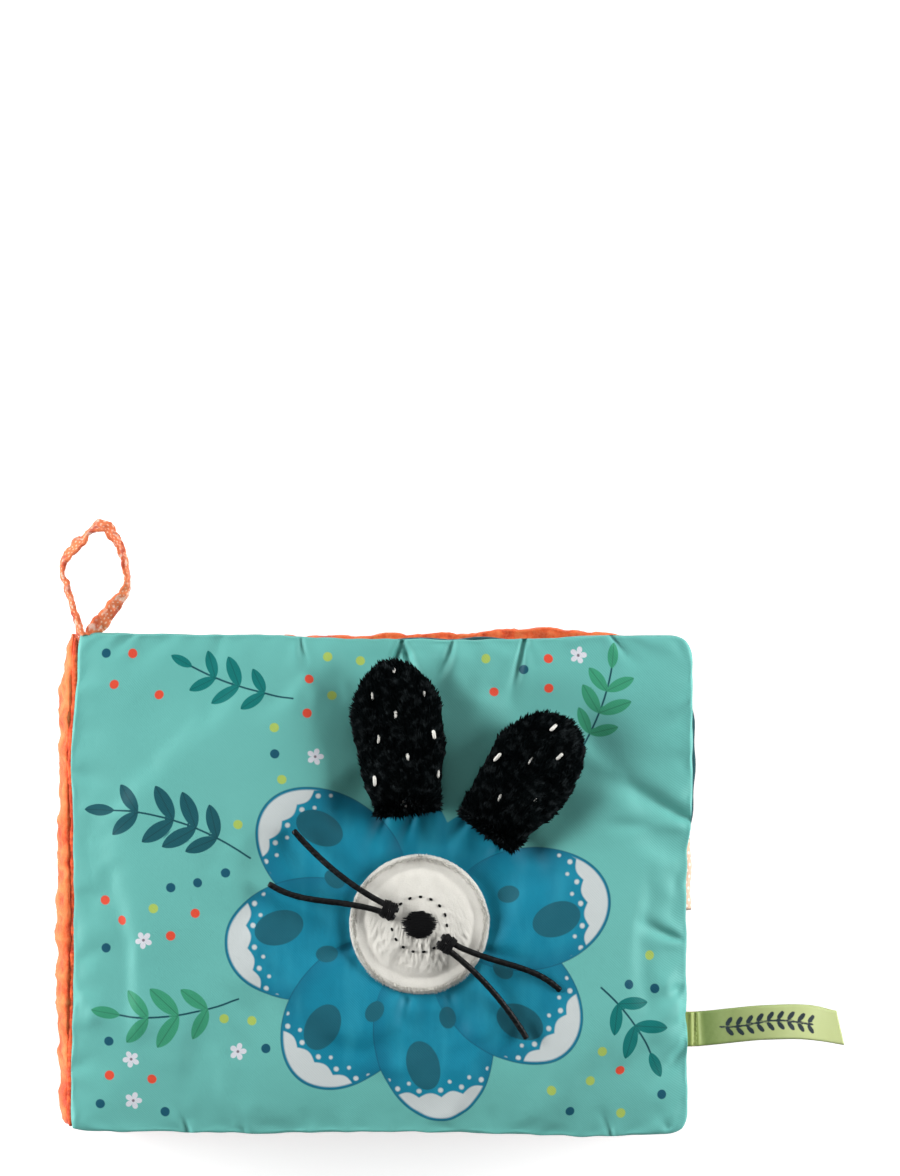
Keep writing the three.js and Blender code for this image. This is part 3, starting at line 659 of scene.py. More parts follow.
def clear_vinyl():
    material, tree, shader = new_material("clear_vinyl", srgb(240, 247, 248), 0.12, specular=0.5)
    shader.inputs["Transmission Weight"].default_value = 0.92
    shader.inputs["IOR"].default_value = 1.3
    place = object_mm(tree)
    haze = cloudy(tree, place, 28.0, detail=4.0)
    normal = bumped(tree, haze, 0.3)
    paint(tree, shader, normal=normal, roughness=span(tree, haze, 0.3, 0.7, 0.06, 0.2))
    return material


def dots_wear_and_shade(tree, ground):
    """The hanging loop's dots, its cloth rubbed pale in some patches and painted dark red as shade in others.
    """
    own = field(tree, "cloth", "Vector")
    colour = dot_print(1.6, 0.3, srgb(250, 202, 172))(tree, ground)
    rubbed = span(tree, cloudy(tree, own, 3.0, 3.0), 0.54, 0.64, 0, 0.75)
    colour = blend_colour(tree, rubbed, colour, srgb(250, 222, 204))
    # Painted shade: dark red patches, spread at random.
    painted_shade_patches = span(tree, cloudy(tree, own, 4.6, 2.0), 0.5, 0.62, 0, 0.85)
    return blend_colour(tree, painted_shade_patches, colour, srgb(182, 70, 46))


MATERIALS = {
    "teal_satin": printed_satin(),
    "orange_crinkle": crinkled_cotton(),
    "dark_teal_cotton": woven_cotton("dark_teal_cotton", srgb(38, 88, 94), srgb(26, 68, 74)),
    "plain_teal_cotton": woven_cotton("plain_teal_cotton", srgb(54, 108, 112), srgb(42, 90, 94)),
    "clear_vinyl": clear_vinyl(),
    "cream_plush": plush("cream_plush", srgb(232, 230, 222), srgb(206, 203, 194), roughness=0.8, sheen=0.3),
    "white_thread": thread("white_thread", srgb(240, 239, 233), srgb(214, 211, 202)),
    "teal_thread": thread("teal_thread", srgb(96, 160, 152), srgb(70, 130, 124)),
    "green_thread": thread("green_thread", srgb(176, 196, 118), srgb(142, 166, 92)),
    "black_thread": thread("black_thread", srgb(13, 13, 15), srgb(3, 3, 4), roughness=0.6, specular=0.12),
    "black_cord": waxed_cord(),
    "black_plush": plush(
        "black_plush", srgb(54, 60, 62), srgb(9, 13, 14), roughness=0.6, sheen=0.0, specular=0.0, patchy=True
    ),
    "orange_dot_ribbon": woven_cotton(
        "orange_dot_ribbon", srgb(248, 152, 102), srgb(226, 100, 58), pitch=0.35, printed=dots_wear_and_shade,
        sheen=0.15,
    ),
    "green_satin_ribbon": satin_ribbon(),
    "peach_dot_ribbon": woven_cotton(
        "peach_dot_ribbon", srgb(240, 208, 184), srgb(228, 186, 158), pitch=0.4,
        printed=dot_print(2.4, 0.55, srgb(252, 240, 230)), sheen=0.15,
    ),
}


# Node trees for what repeats

def geometry_tree(name, sockets):
    """A new tree with a geometry input and named inputs, and its two ends."""
    tree = bpy.data.node_groups.new(name, "GeometryNodeTree")
    tree.interface.new_socket("Geometry", in_out="INPUT", socket_type="NodeSocketGeometry")
    for label, kind, value in sockets:
        made = tree.interface.new_socket(label, in_out="INPUT", socket_type="NodeSocket" + kind)
        if value is not None:
            made.default_value = value
    tree.interface.new_socket("Geometry", in_out="OUTPUT", socket_type="NodeSocketGeometry")
    start = tree.nodes.new("NodeGroupInput").outputs
    end = tree.nodes.new("NodeGroupOutput").inputs
    return tree, start, end


def random_span(tree, low, high, seed):
    node = add(tree, "FunctionNodeRandomValue", {"Min": low, "Max": high, "Seed": seed}, data_type="FLOAT")
    return socket(node.outputs, "Value")


def place_shapes(tree, points, shape, turn, scale, spin, material, end):
    """Puts a shape on each point, turned, scaled and spun about its own upright, as painted mesh."""
    instance = add(tree, "GeometryNodeObjectInfo", {"Object": shape}).outputs["Geometry"]
    size = add(tree, "ShaderNodeCombineXYZ", dict(enumerate(scale))).outputs[0]
    placed = add(tree, "GeometryNodeInstanceOnPoints", {
        "Points": points, "Instance": instance, "Rotation": turn, "Scale": size,
    })
    around = add(tree, "ShaderNodeCombineXYZ", {2: spin}).outputs[0]
    turned = add(tree, "GeometryNodeRotateInstances", {
        "Instances": placed.outputs[0], "Rotation": around, "Local Space": True,
    })
    real = add(tree, "GeometryNodeRealizeInstances", {0: turned.outputs[0]}).outputs[0]
    painted = add(tree, "GeometryNodeSetMaterial", {"Geometry": real, "Material": material})
    tree.links.new(painted.outputs[0], end["Geometry"])


def pile_tree():
    """Strands that stand on a surface, leaning along its comb field and ruffled into tufts."""
    tree, start, end = geometry_tree("pile", [
        ("Strand", "Object", None), ("Material", "Material", None), ("Density", "Float", 1.0),
        ("Length", "Float", 1.0), ("Width", "Float", 1.0), ("Stand", "Float", 1.0),
        ("Ruffle", "Float", 1.0), ("Tuft", "Float", 1.0), ("Seed", "Int", 1),
    ])
    rooted = add(tree, "GeometryNodeInputNamedAttribute", {"Name": "pile"}, data_type="FLOAT")
    grown = calc(tree, "GREATER_THAN", rooted.outputs["Attribute"], 0.5)
    spread = add(tree, "GeometryNodeDistributePointsOnFaces", {
        "Mesh": start["Geometry"], "Selection": grown, "Density": start["Density"], "Seed": start["Seed"],
    })
    comb = add(tree, "GeometryNodeInputNamedAttribute", {"Name": "comb"}, data_type="FLOAT_VECTOR")
    tufts = add(tree, "ShaderNodeTexNoise", {"Scale": start["Tuft"], "Detail": 2.0})
    ruffle = vector_calc(tree, "SUBTRACT", tufts.outputs["Color"], (0.5,) * 3)
    ruffle = vector_calc(tree, "SCALE", ruffle, start["Ruffle"])
    stand = vector_calc(tree, "SCALE", spread.outputs["Normal"], start["Stand"])
    lean = vector_calc(tree, "ADD", vector_calc(tree, "ADD", stand, comb.outputs["Attribute"]), ruffle)
    turn = add(tree, "FunctionNodeAlignRotationToVector", {"Vector": lean}, axis="Z").outputs[0]
    wide = calc(tree, "MULTIPLY", start["Width"], random_span(tree, 0.7, 1.15, 3))
    long = calc(tree, "MULTIPLY", start["Length"], random_span(tree, 0.65, 1.1, 5))
    spin = random_span(tree, 0.0, 6.283, 7)
    place_shapes(
        tree, spread.outputs["Points"], start["Strand"], turn, (wide, wide, long), spin,
        start["Material"], end,
    )
    return tree


def stitch_tree():
    """Stitches at an even pitch along a line, each turned with the line and a little uneven."""
    tree, start, end = geometry_tree("stitches", [
        ("Stitch", "Object", None), ("Material", "Material", None), ("Pitch", "Float", 0.003),
        ("Length", "Float", 0.002), ("Width", "Float", 0.0005), ("Slant", "Float", 0.0), ("Seed", "Int", 1),
    ])
    line = add(tree, "GeometryNodeMeshToCurve", {"Mesh": start["Geometry"]})
    stops = add(tree, "GeometryNodeResampleCurve", {"Curve": line.outputs[0]}, mode="LENGTH")
    tree.links.new(start["Pitch"], socket(stops.inputs, "Length"))
    heading = add(tree, "GeometryNodeInputTangent").outputs[0]
    turn = add(tree, "FunctionNodeAlignRotationToVector", {"Vector": heading}, axis="X").outputs[0]
    long = calc(tree, "MULTIPLY", start["Length"], random_span(tree, 0.88, 1.1, start["Seed"]))
    scale = (long, start["Width"], start["Width"])
    slant = calc(tree, "ADD", start["Slant"], random_span(tree, -0.06, 0.06, 11))
    place_shapes(tree, stops.outputs[0], start["Stitch"], turn, scale, slant, start["Material"], end)
    return tree


def unit_strand(name, radii, bend):
    """A tapered three-sided strand of length 1 that leans to one side. Its tip field grows from 0 to 1."""
    turns = 2 * np.pi * np.arange(3) / 3
    heights = np.linspace(0, 1, len(radii) + 1)
    points = [
        (radius * math.cos(t) + bend * height**2, radius * math.sin(t), height)
        for radius, height in zip(radii, heights) for t in turns
    ]
    points.append((bend, 0, 1))
    faces = [(2, 1, 0)]
    for low in range(0, 3 * len(radii), 3):
        for i, j in ((0, 1), (1, 2), (2, 0)):
            top = (low + 3 + j, low + 3 + i) if low + 3 < 3 * len(radii) else (3 * len(radii),)
            faces.append((low + i, low + j, *top))
    tip = [height for height in heights[:-1] for _ in turns] + [1]
    obj = make_object(name, np.array(points) / MM, faces, fields={"tip": tip})
    scene.collection.objects.unlink(obj)
    return obj


def unit_stitch():
    """A plump stitch of length 1 that lies along X."""
    turns = 2 * np.pi * np.arange(6) / 6
    rings = [
        np.column_stack([np.full(6, place), radius * np.cos(turns), radius * np.sin(turns)])
        for radius, place in ((0.12, -0.5), (0.4, -0.4), (0.5, -0.2), (0.5, 0.2), (0.4, 0.4), (0.12, 0.5))
    ]
    points, faces = skin(rings)
    obj = make_object("stitch", points / MM, faces)
    scene.collection.objects.unlink(obj)
    return obj


STRAND = unit_strand("strand", [0.5, 0.4], 0.25)
LOCK = unit_strand("lock", [0.35, 0.5, 0.36], 0.18)
STITCH = unit_stitch()
PILE = pile_tree()
STITCHES = stitch_tree()


def grown(source, tree, name, settings):
    """Runs a node tree on an object and returns what it makes as a plain mesh."""
    modifier = source.modifiers.new(tree.name, "NODES")
    modifier.node_group = tree
    for item in tree.interface.items_tree:
        if item.in_out == "INPUT" and item.name in settings:
            modifier[item.identifier] = settings[item.name]
    mesh = bpy.data.meshes.new_from_object(evaluated(source))
    source.modifiers.remove(modifier)
    mesh.shade_smooth()
    made = bpy.data.objects.new(name, mesh)
    scene.collection.objects.link(made)
    return made


def stitched(name, lines, material, pitch, length, width, slant=0.0, seed=1):
    """Stitches along several lines of points, as one piece. A line is its points and whether it closes."""
    points, edges = [], []
    for line, closed in lines:
        first = len(points)
        points.extend(np.asarray(line, float).tolist())
        count = len(line)
        edges.extend((first + k, first + (k + 1) % count) for k in range(count if closed else count - 1))
    path = make_object(name + "_line", points, [], edges=edges)
    made = grown(path, STITCHES, name, {
        "Stitch": STITCH, "Material": MATERIALS[material], "Pitch": pitch * MM, "Length": length * MM,
        "Width": width * MM, "Slant": slant, "Seed": seed,
    })
    bpy.data.objects.remove(path)
    return made


def furred(surface, name, material, density, length, width, stand, ruffle, tuft, strand=STRAND, seed=1):
    return grown(surface, PILE, name, {
        "Strand": strand, "Material": MATERIALS[material], "Density": density / MM**2, "Length": length * MM,
        "Width": width * MM, "Stand": stand, "Ruffle": ruffle, "Tuft": 1 / (tuft * MM), "Seed": seed,
    })


def fit(obj, body, replaces=()):
    """Fixes a finished piece to its body."""
    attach(obj, body)
    if replaces:
        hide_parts(*replaces)
    return obj


# Camera, straight above the cover as in the photograph

def add_camera():
    data = bpy.data.cameras.new("camera")
    data.sensor_width = SENSOR
    data.lens = SENSOR * CAMERA_HEIGHT / (PHOTO_HEIGHT * MM_PER_PIXEL)
    data.clip_end = 20
    camera = bpy.data.objects.new("camera", data)
    camera.location = np.array([VIEW_X, VIEW_Y, COVER_TOP + CAMERA_HEIGHT]) * MM
    scene.collection.objects.link(camera)
    scene.camera = camera


add_camera()


# Cords

def add_cord(pair, side):
    """One waxed cord, out of its stitched saddle and over the flower to its cut end."""
    middle, ahead, sideways = flower_axes(CORD_PAIRS[pair])
    route = [middle + out * ahead + off * sideways + up * UP for out, off, up in CORD_ROUTES[side]]
    path = through(route, 90)
    along = run_of(path)
    length = along[-1]
    radius = CORD_DIAMETER / 2 * (1 + 0.03 * noise_at(np.column_stack([along, 0 * along, 0 * along]), 2.5, 3))
    from_end = np.minimum(along, length - along)
    radius = radius * (1 - 0.3 * np.exp(-((from_end / 0.35) ** 2)))
    sides = 14
    points, faces = skin(tube_rings(path, radius, sides))
    around = np.tile(np.linspace(0, 2 * np.pi, sides, endpoint=False), (len(path), 1))
    obj = make_object(
        f"{pair}_{side}_cord", points, faces, [MATERIALS["black_cord"]], {"cloth": own_places(along, around)}
    )
    fit(obj, "front_cover", [f"{pair}_{side}_stamen"])


for pair_name in CORD_PAIRS:
    for side_name in CORD_ROUTES:
        add_cord(pair_name, side_name)


# Cushions

def grid_lines(size, corner, step):
    """Lines across a cushion, closer together beside its seams."""
    rim = corner * np.array([0, 0.09, 0.24, 0.45, 0.7, 1])
    inner = size / 2 - corner
    middle = np.linspace(-inner, inner, round(2 * inner / step) + 1)[1:-1]
    return np.concatenate([rim - size / 2, middle, size / 2 - rim[::-1]])


def round_corners(x, y, width, height, corner):
    """Moves the points in a grid's corner squares on to quarter circles."""
    u = clamp((np.abs(x) - (width / 2 - corner)) / corner)
    v = clamp((np.abs(y) - (height / 2 - corner)) / corner)
    new_u = u * np.sqrt(1 - v**2 / 2)
    new_v = v * np.sqrt(1 - u**2 / 2)
    new_x = np.sign(x) * (np.abs(x) + corner * (new_u - u))
    new_y = np.sign(y) * (np.abs(y) + corner * (new_v - v))
    return new_x, new_y


def roll_share(x, y, width, height, corner, roll):
    """How far a cushion's face has risen, from 0 at the seam to 1 where it is flat."""
    power = -1 / math.log2(1 - (1 - math.sqrt(0.5)) * corner / roll)
    from_side = clamp(1 - (width / 2 - np.abs(x)) / roll)
    from_end = clamp(1 - (height / 2 - np.abs(y)) / roll)
    lean = clamp((from_side**power + from_end**power) ** (1 / power))
    return np.sqrt(1 - lean**2)


class Cushion:
    """A closed cushion on a grid: its upper and lower faces share the points of the seam.

    wrap is how many rows of the upper face take the lower fabric, and of the lower face the upper fabric.
    """

    def __init__(self, name, width, height, corner, step, seam_z, faces, outline, materials, wrap=(0, 0)):
        xs, ys = grid_lines(width, corner, step), grid_lines(height, corner, step)
        flat_x, flat_y = np.meshgrid(xs, ys, indexing="ij")
        x, y = round_corners(flat_x, flat_y, width, height, corner)
        self.upper = np.arange(x.size).reshape(x.shape)
        self.lower = self.upper.copy()
        inner = (x.shape[0] - 2) * (x.shape[1] - 2)
        self.lower[1:-1, 1:-1] = x.size + np.arange(inner).reshape(x.shape[0] - 2, -1)
        self.count = x.size + inner
        placed_x, placed_y = outline(flat_x, flat_y, x, y)
        points = np.zeros((self.count, 3))
        cloth = np.zeros((self.count, 3))
        for index, up, (rise, roll) in ((self.lower, -1, faces[1]), (self.upper, 1, faces[0])):
            height_at = rise * roll_share(x, y, width, height, corner, roll)
            points[index] = np.stack([placed_x, placed_y, seam_z + up * height_at], axis=-1)
            cloth[index] = np.stack([x, y, up * height_at], axis=-1)
        rows = np.minimum(*np.meshgrid(
            *(np.minimum(np.arange(n - 1), np.arange(n - 2, -1, -1)) for n in x.shape), indexing="ij"
        )).ravel()
        quads = np.vstack([grid_quads(self.upper), grid_quads(self.lower)[:, ::-1]])
        self.obj = make_object(name, points, quads.tolist(), materials, {"cloth": cloth})
        fabric = np.concatenate([(rows < wrap[0]).astype(int), (rows >= wrap[1]).astype(int)])
        self.obj.data.polygons.foreach_set("material_index", fabric if len(materials) > 1 else 0 * fabric)
        self.seam = grid_rim(self.upper)

    def settle(self, slack, pressure, cap, frames=18):
        """Lets the stuffed fabric take up its wrinkles, by a cloth simulation kept in the mesh."""
        rest = points_of(self.obj.data)
        group = self.obj.vertex_groups.new(name="seam")
        group.add(self.seam, 1.0, "REPLACE")
        cloth = self.obj.modifiers.new("cloth", "CLOTH")
        settings = cloth.settings
        settings.quality = 4
        settings.mass = 0.15
        settings.tension_stiffness = 20
        settings.compression_stiffness = 20
        settings.shear_stiffness = 10
        settings.bending_stiffness = 0.05
        settings.vertex_group_mass = "seam"
        settings.use_pressure = True
        settings.uniform_pressure_force = pressure
        settings.shrink_min = -slack
        settings.effector_weights.gravity = 0
        cloth.point_cache.frame_start = 1
        cloth.point_cache.frame_end = frames
        for step in range(1, frames + 1):
            scene.frame_set(step)
        moved = points_of(evaluated(self.obj).data) - rest
        self.obj.modifiers.clear()
        self.obj.vertex_groups.clear()
        scene.frame_set(1)
        kept = np.zeros_like(moved)
        for index in (self.lower, self.upper):
            kept[index] = moved[index] - softened(moved[index], 7)
        size = np.linalg.norm(kept, axis=1, keepdims=True)
        kept *= cap * np.tanh(size / cap) / np.maximum(size, 1e-9)
        kept[self.seam] = 0
        move_points(self.obj.data, rest + kept)


def softened(grid, reach):
    """A broad average over a grid of vectors."""
    result = grid.copy()
    for _ in range(3):
        for axis in (0, 1):
            pad = [(reach, reach) if k == axis else (0, 0) for k in range(3)]
            sums = np.cumsum(np.pad(result, pad, mode="edge"), axis=axis)
            size = 2 * reach
            head = np.take(sums, range(size, sums.shape[axis]), axis=axis)
            tail = np.take(sums, range(0, sums.shape[axis] - size), axis=axis)
            result = (head - tail) / size
    return result


def fabric_of(obj, name, index, material):
    """The faces of a cushion with one material index, as a piece of its own."""
    mesh = obj.data
    points, cloth = points_of(mesh), get_field(mesh, "cloth")
    chosen = [tuple(face.vertices) for face in mesh.polygons if face.material_index == index]
    used = sorted({k for face in chosen for k in face})
    place = {k: n for n, k in enumerate(used)}
    faces = [tuple(place[k] for k in face) for face in chosen]
    return make_object(name, points[used], faces, [material], {"cloth": cloth[used]})


def closed_behind(obj, inward, up):
    """Closes an open fabric on its hidden side: a hem turned in along its edge, and a flat back."""
    mesh = obj.data
    points, cloth = points_of(mesh), get_field(mesh, "cloth")
    faces = [tuple(face.vertices) for face in mesh.polygons]
    sides = {(a, b) for face in faces for a, b in zip(face, face[1:] + face[:1])}
    following = {a: b for a, b in sides if (b, a) not in sides}
    loop = [min(following)]
    while following[loop[-1]] != loop[0]:
        loop.append(following[loop[-1]])
    edge = points[loop]
    middle = edge.mean(axis=0)
    hem = edge + inward * unit(middle - edge) * [1, 1, 0] + up * UP
    start = len(points)
    for k, (a, b) in enumerate(zip(loop, loop[1:] + loop[:1])):
        turned, turned_next = start + k, start + (k + 1) % len(loop)
        faces.append((b, a, turned, turned_next))
        faces.append((turned_next, turned, start + len(loop)))
    material = mesh.materials[0]
    name = obj.name
    bpy.data.objects.remove(obj)
    bpy.data.meshes.remove(mesh)
    all_points = np.vstack([points, hem, hem.mean(axis=0)])
    all_cloth = np.vstack([cloth, cloth[loop], cloth[loop].mean(axis=0)])
    return make_object(name, all_points, faces, [material], {"cloth": all_cloth})


def measured(edge, at):
    """An edge's place by a few measured points, each a position along it and its distance out."""
    along, out = np.array(edge, float).T
    return np.interp(at, along, out)


# Front cover's edges as it lies

HEAD_EDGE = [
    (-100, 81.1), (-60, 80.6), (-35, 80.2), (-22, 79.3), (-12, 79.1), (10, 79.0), (30, 78.6), (52, 79.3),
    (75, 80.2), (100, 80.1),
]
FOOT_EDGE = [
    (-100, 81.7), (-85, 82.1), (-60, 82.3), (-35, 82.7), (0, 82.0), (40, 82.8), (66, 83.7), (90, 82.9),
    (100, 82.6),
]
SPINE_EDGE = [
    (-81, 102.0), (-62, 101.6), (-42, 101.2), (-15, 100.9), (20, 101.0), (40, 101.7), (52, 101.0), (66, 99.7),
    (81, 99.3),
]
FORE_EDGE = [
    (-81, 99.6), (0, 99.2), (11, 99.4), (18, 100.8), (28, 101.0), (60, 101.2), (72, 101.4), (81, 100.3),
]


def front_outline(flat_x, flat_y, x, y):
    """The front cover's seam as it lies: sharper corners at the spine, and drawn in at the head."""
    sharp = np.where(flat_x < 0, 0.6, 0.1)
    x, y = x + sharp * (flat_x - x), y + sharp * (flat_y - y)
    across = np.where(x < 0, measured(SPINE_EDGE, y), measured(FORE_EDGE, y)) / (COVER_WIDTH / 2)
    down = np.where(y > 0, measured(HEAD_EDGE, x), measured(FOOT_EDGE, x)) / (COVER_HEIGHT / 2)
    return x * across, y * down


# Creases, from where each starts at a seam or a foot: its points on the flat fabric, its width and its depth
CREASES = [
    ([(6.3, 81.0), (5.0, 76.0), (2.6, 67.0)], 0.9, 2.3),
    ([(6.3, 81.0), (6.6, 76.0), (6.6, 68.0)], 1.9, 1.4),
    ([(6.3, 81.0), (7.8, 76.0), (12.5, 62.0)], 0.9, 2.3),
    ([(22.9, 81.0), (20.8, 73.0), (15.5, 61.0)], 1.1, 1.7),
    ([(46.2, 81.0), (44.6, 74.0), (40.5, 58.0)], 1.0, 2.3),
    ([(47.0, 81.0), (47.6, 76.0), (49.5, 70.0)], 0.9, 1.2),
    ([(74.0, 81.0), (76.6, 77.0), (83.0, 69.5)], 1.1, 1.6),
    ([(-27.0, 81.0), (-26.3, 76.0), (-24.6, 68.0)], 0.9, 1.5),
    ([(-81.0, 81.0), (-86.0, 77.0), (-92.5, 71.5)], 1.3, 1.3),
    ([(-68.0, 81.0), (-80.0, 72.5), (-93.0, 66.0)], 2.2, 0.6),
    ([(-52.0, 81.0), (-55.0, 74.0), (-62.0, 66.0)], 1.6, 0.7),
    ([(99.6, 20.0), (86.5, 27.4), (71.4, 33.3), (58.0, 36.0)], 2.2, 2.4),
    ([(99.2, -18.9), (92.0, -16.4), (82.0, -12.0)], 1.2, 2.2),
    ([(99.2, -34.0), (93.0, -37.0), (84.0, -37.0)], 1.7, 1.2),
    ([(99.0, -52.5), (95.0, -58.5), (86.0, -66.0)], 1.7, 1.5),
    ([(100.5, 58.0), (95.0, 52.0), (86.0, 48.0)], 1.8, 0.9),
    ([(-61.6, -82.0), (-63.6, -76.5), (-67.0, -70.0)], 1.1, 1.4),
    ([(-44.0, -82.0), (-45.0, -76.0), (-47.5, -70.0)], 1.1, 0.7),
    ([(-24.0, -82.0), (-26.0, -72.0)], 1.2, 0.7),
    ([(4.5, -82.0), (3.6, -73.0)], 1.1, 0.6),
    ([(37.5, -82.0), (35.0, -72.0)], 1.2, 0.6),
    ([(75.6, -82.5), (74.6, -78.0), (71.0, -71.0)], 0.9, 1.4),
    ([(93.5, -78.5), (88.0, -71.0)], 1.5, 0.7),
    ([(-101.0, 36.0), (-93.0, 33.0), (-82.0, 34.0)], 2.4, 0.9),
    ([(-101.0, -4.0), (-94.0, -6.0), (-86.0, -3.0)], 2.4, 0.8),
    ([(-101.0, -26.0), (-92.0, -23.0), (-80.0, -26.0)], 2.6, 0.8),
    ([(-101.0, -62.0), (-94.0, -58.0), (-84.0, -58.0)], 2.4, 0.8),
    ([(0.5, 20.0), (-3.0, 13.0), (-5.0, 4.0)], 1.8, 0.9),
    ([(9.5, 20.5), (7.5, 14.0), (7.5, 7.0)], 1.6, 0.9),
    ([(27.0, 20.0), (21.5, 12.0), (18.0, 6.0)], 1.7, 1.2),
    ([(38.5, 11.0), (33.0, 5.0), (29.0, 0.0)], 1.7, 0.8),
    ([(-10.0, -21.0), (-20.0, -24.0), (-32.0, -23.0)], 2.0, 0.8),
    ([(34.0, -22.0), (45.0, -25.0), (58.0, -24.0)], 2.0, 0.9),
    ([(8.0, -38.0), (5.0, -50.0), (5.5, -62.0)], 2.0, 0.8),
    ([(22.0, -37.0), (26.0, -48.0), (25.5, -60.0)], 2.0, 0.7),
]


def line_distance(points, line):
    """Each point's distance to a polyline, and the share of the line's length where it is nearest."""
    line = np.asarray(line, float)
    spans = np.linalg.norm(np.diff(line, axis=0), axis=1)
    starts = np.concatenate([[0], np.cumsum(spans)])
    best = np.full(len(points), np.inf)
    share = np.zeros(len(points))
    for k, (a, b) in enumerate(zip(line, line[1:])):
        t = clamp(((points - a) @ (b - a)) / max(spans[k] ** 2, 1e-9))
        distance = np.linalg.norm(points - a - t[:, None] * (b - a), axis=1)
        nearer = distance < best
        best = np.where(nearer, distance, best)
        share = np.where(nearer, (starts[k] + t * spans[k]) / starts[-1], share)
    return best, share


def creased(flat, creases):
    """How far the creases lower a fabric at each of its flat points."""
    drop = np.zeros(len(flat))
    for line, width, depth in creases:
        distance, share = line_distance(flat, line)
        fade = (1 - share) ** 0.9
        spread = width * (0.7 + 1.5 * share)
        groove = np.exp(-((distance / spread) ** 2))
        lips = np.exp(-(((distance - 2.2 * spread) / (1.4 * spread)) ** 2))
        drop += depth * fade * (groove - 0.3 * lips)
    return drop


def foot_line(name):
    """The two ends of the seam that a plush petal turns on."""
    ahead = ahead_of(PLUSH_PETALS[name][0])
    side = np.array([-ahead[1], ahead[0]])
    middle = FLOWER + PETAL_FOOT * ahead
    return middle - 8.5 * side, middle + 8.5 * side


def front_relief(flat):
    """The height that the cover's face loses where things are sewn on, at its seams and where it is slack."""
    drop = creased(flat, CREASES)
    from_disc = np.abs(np.linalg.norm(flat - FLOWER, axis=1) - DISC_RADIUS - 1)
    drop += 0.9 * np.exp(-((from_disc / 3.2) ** 2))
    for name, (angle, length) in PLUSH_PETALS.items():
        distance, _ = line_distance(flat, foot_line(name))
        drop += 1.3 * np.exp(-((distance / 4.0) ** 2))
        axis = [FLOWER + (PETAL_FOOT + reach * length) * ahead_of(angle) for reach in (0.1, 0.75)]
        distance, _ = line_distance(flat, axis)
        drop += 3.3 * np.exp(-((distance / 21.0) ** 4))
    spread = raised(flat)
    for across, half, seed in ((0, COVER_HEIGHT / 2, 14), (1, COVER_WIDTH / 2, 15)):
        from_seam = clamp(half - np.abs(flat[:, 1 - across]), 0, 99)
        beside = np.column_stack([flat[:, across], np.sign(flat[:, 1 - across]) * 40, from_seam * 0.25])
        drop += 0.55 * noise_at(beside, 6.5, seed) * np.exp(-from_seam / 5.5)
    return drop + 0.3 + 0.6 * noise_at(spread, 46, 4) + 0.35 * noise_at(spread, 19, 8)


def add_front_cover():
    cushion = Cushion(
        "front_cover", COVER_WIDTH, COVER_HEIGHT, COVER_CORNER, 2.8, FRONT_SEAM_Z,
        ((OUTER_RISE, OUTER_ROLL), (LINING_RISE, LINING_ROLL)), front_outline,
        [MATERIALS["teal_satin"], MATERIALS["dark_teal_cotton"]], wrap=(0, 4),
    )
    cushion.settle(slack=0.05, pressure=2.5, cap=1.2)
    obj = subdivided(cushion.obj)
    points, cloth = points_of(obj.data), get_field(obj.data, "cloth")
    lower = smooth_step((FRONT_SEAM_Z - points[:, 2]) / 2.5)
    spread = raised(cloth[:, :2], 9.0)
    points[:, 2] += lower * (0.2 + 0.25 * noise_at(spread, 24, 5))
    move_points(obj.data, points)
    outer = subdivided(fabric_of(obj, "front_cover_satin", 0, MATERIALS["teal_satin"]))
    lining = fabric_of(obj, "front_cover_inside", 1, MATERIALS["dark_teal_cotton"])
    bpy.data.objects.remove(obj)
    points, flat = points_of(outer.data), get_field(outer.data, "cloth")[:, :2]
    upper = smooth_step((points[:, 2] - FRONT_SEAM_Z) / 2.5)
    points[:, 2] -= upper * front_relief(flat)
    held = upper * smooth_step((DISC_RADIUS + 0.5 - np.linalg.norm(flat - FLOWER, axis=1)) / 2.5)
    points[:, 2] -= held * np.maximum(points[:, 2] - COVER_TOP + 0.8, 0)
    move_points(outer.data, points)
    outer = closed_behind(outer, 0.5, 0.4)
    add_print(outer.data)
    thickened(lining, FABRIC)
    fit(outer, "front_cover", ["front_cover_fabric", "front_cover_wadding"])
    fit(lining, "front_cover", ["front_cover_lining"])
    return outer


# Print on the front cover. Broad inks are kept as the distance of each point from their outline, and small
# motifs as each point's place in the nearest one, so that the material can draw them sharply.

def ellipse_distance(points, centre, half_long, half_wide, angle):
    along, across = local_place(points, centre, angle, 1).T
    near = np.hypot(along / half_long, across / half_wide)
    steep = np.hypot(along / half_long**2, across / half_wide**2)
    return near * (near - 1) / np.maximum(steep, 1e-6)


def round_dot(points, centre, radius):
    return np.linalg.norm(points - np.asarray(centre, float), axis=1) - radius


def local_place(points, foot, angle, size):
    """Each point's place along and across a motif, in its own size."""
    offset = (points - foot) / size
    ahead = ahead_of(angle)
    return np.column_stack([offset @ ahead, offset @ np.array([-ahead[1], ahead[0]])])


def flower_inks(points):
    """Six printed petals with darker ovals, round the middle that the plush disc covers."""
    feet = [ellipse_distance(points, FLOWER + 27 * ahead_of(a), 17, 13, a) for a, _ in PLUSH_PETALS.values()]
    inks = {"core": np.minimum.reduce([round_dot(points, FLOWER, 33.0), *feet])}
    ovals = []
    for k, angle in enumerate(PRINTED_ANGLES):
        middle = FLOWER + (PRINTED_REACH - 27) * ahead_of(angle)
        inks[f"petal_{k}"] = ellipse_distance(points, middle, 27, 19.5, angle)
        ovals.append(ellipse_distance(points, FLOWER + 45 * ahead_of(angle - 6), 8.0, 5.4, angle + 10))
        ovals.append(ellipse_distance(points, FLOWER + 31 * ahead_of(angle + 10), 3.6, 2.7, angle))
    inks["oval"] = np.minimum.reduce(ovals)
    return inks


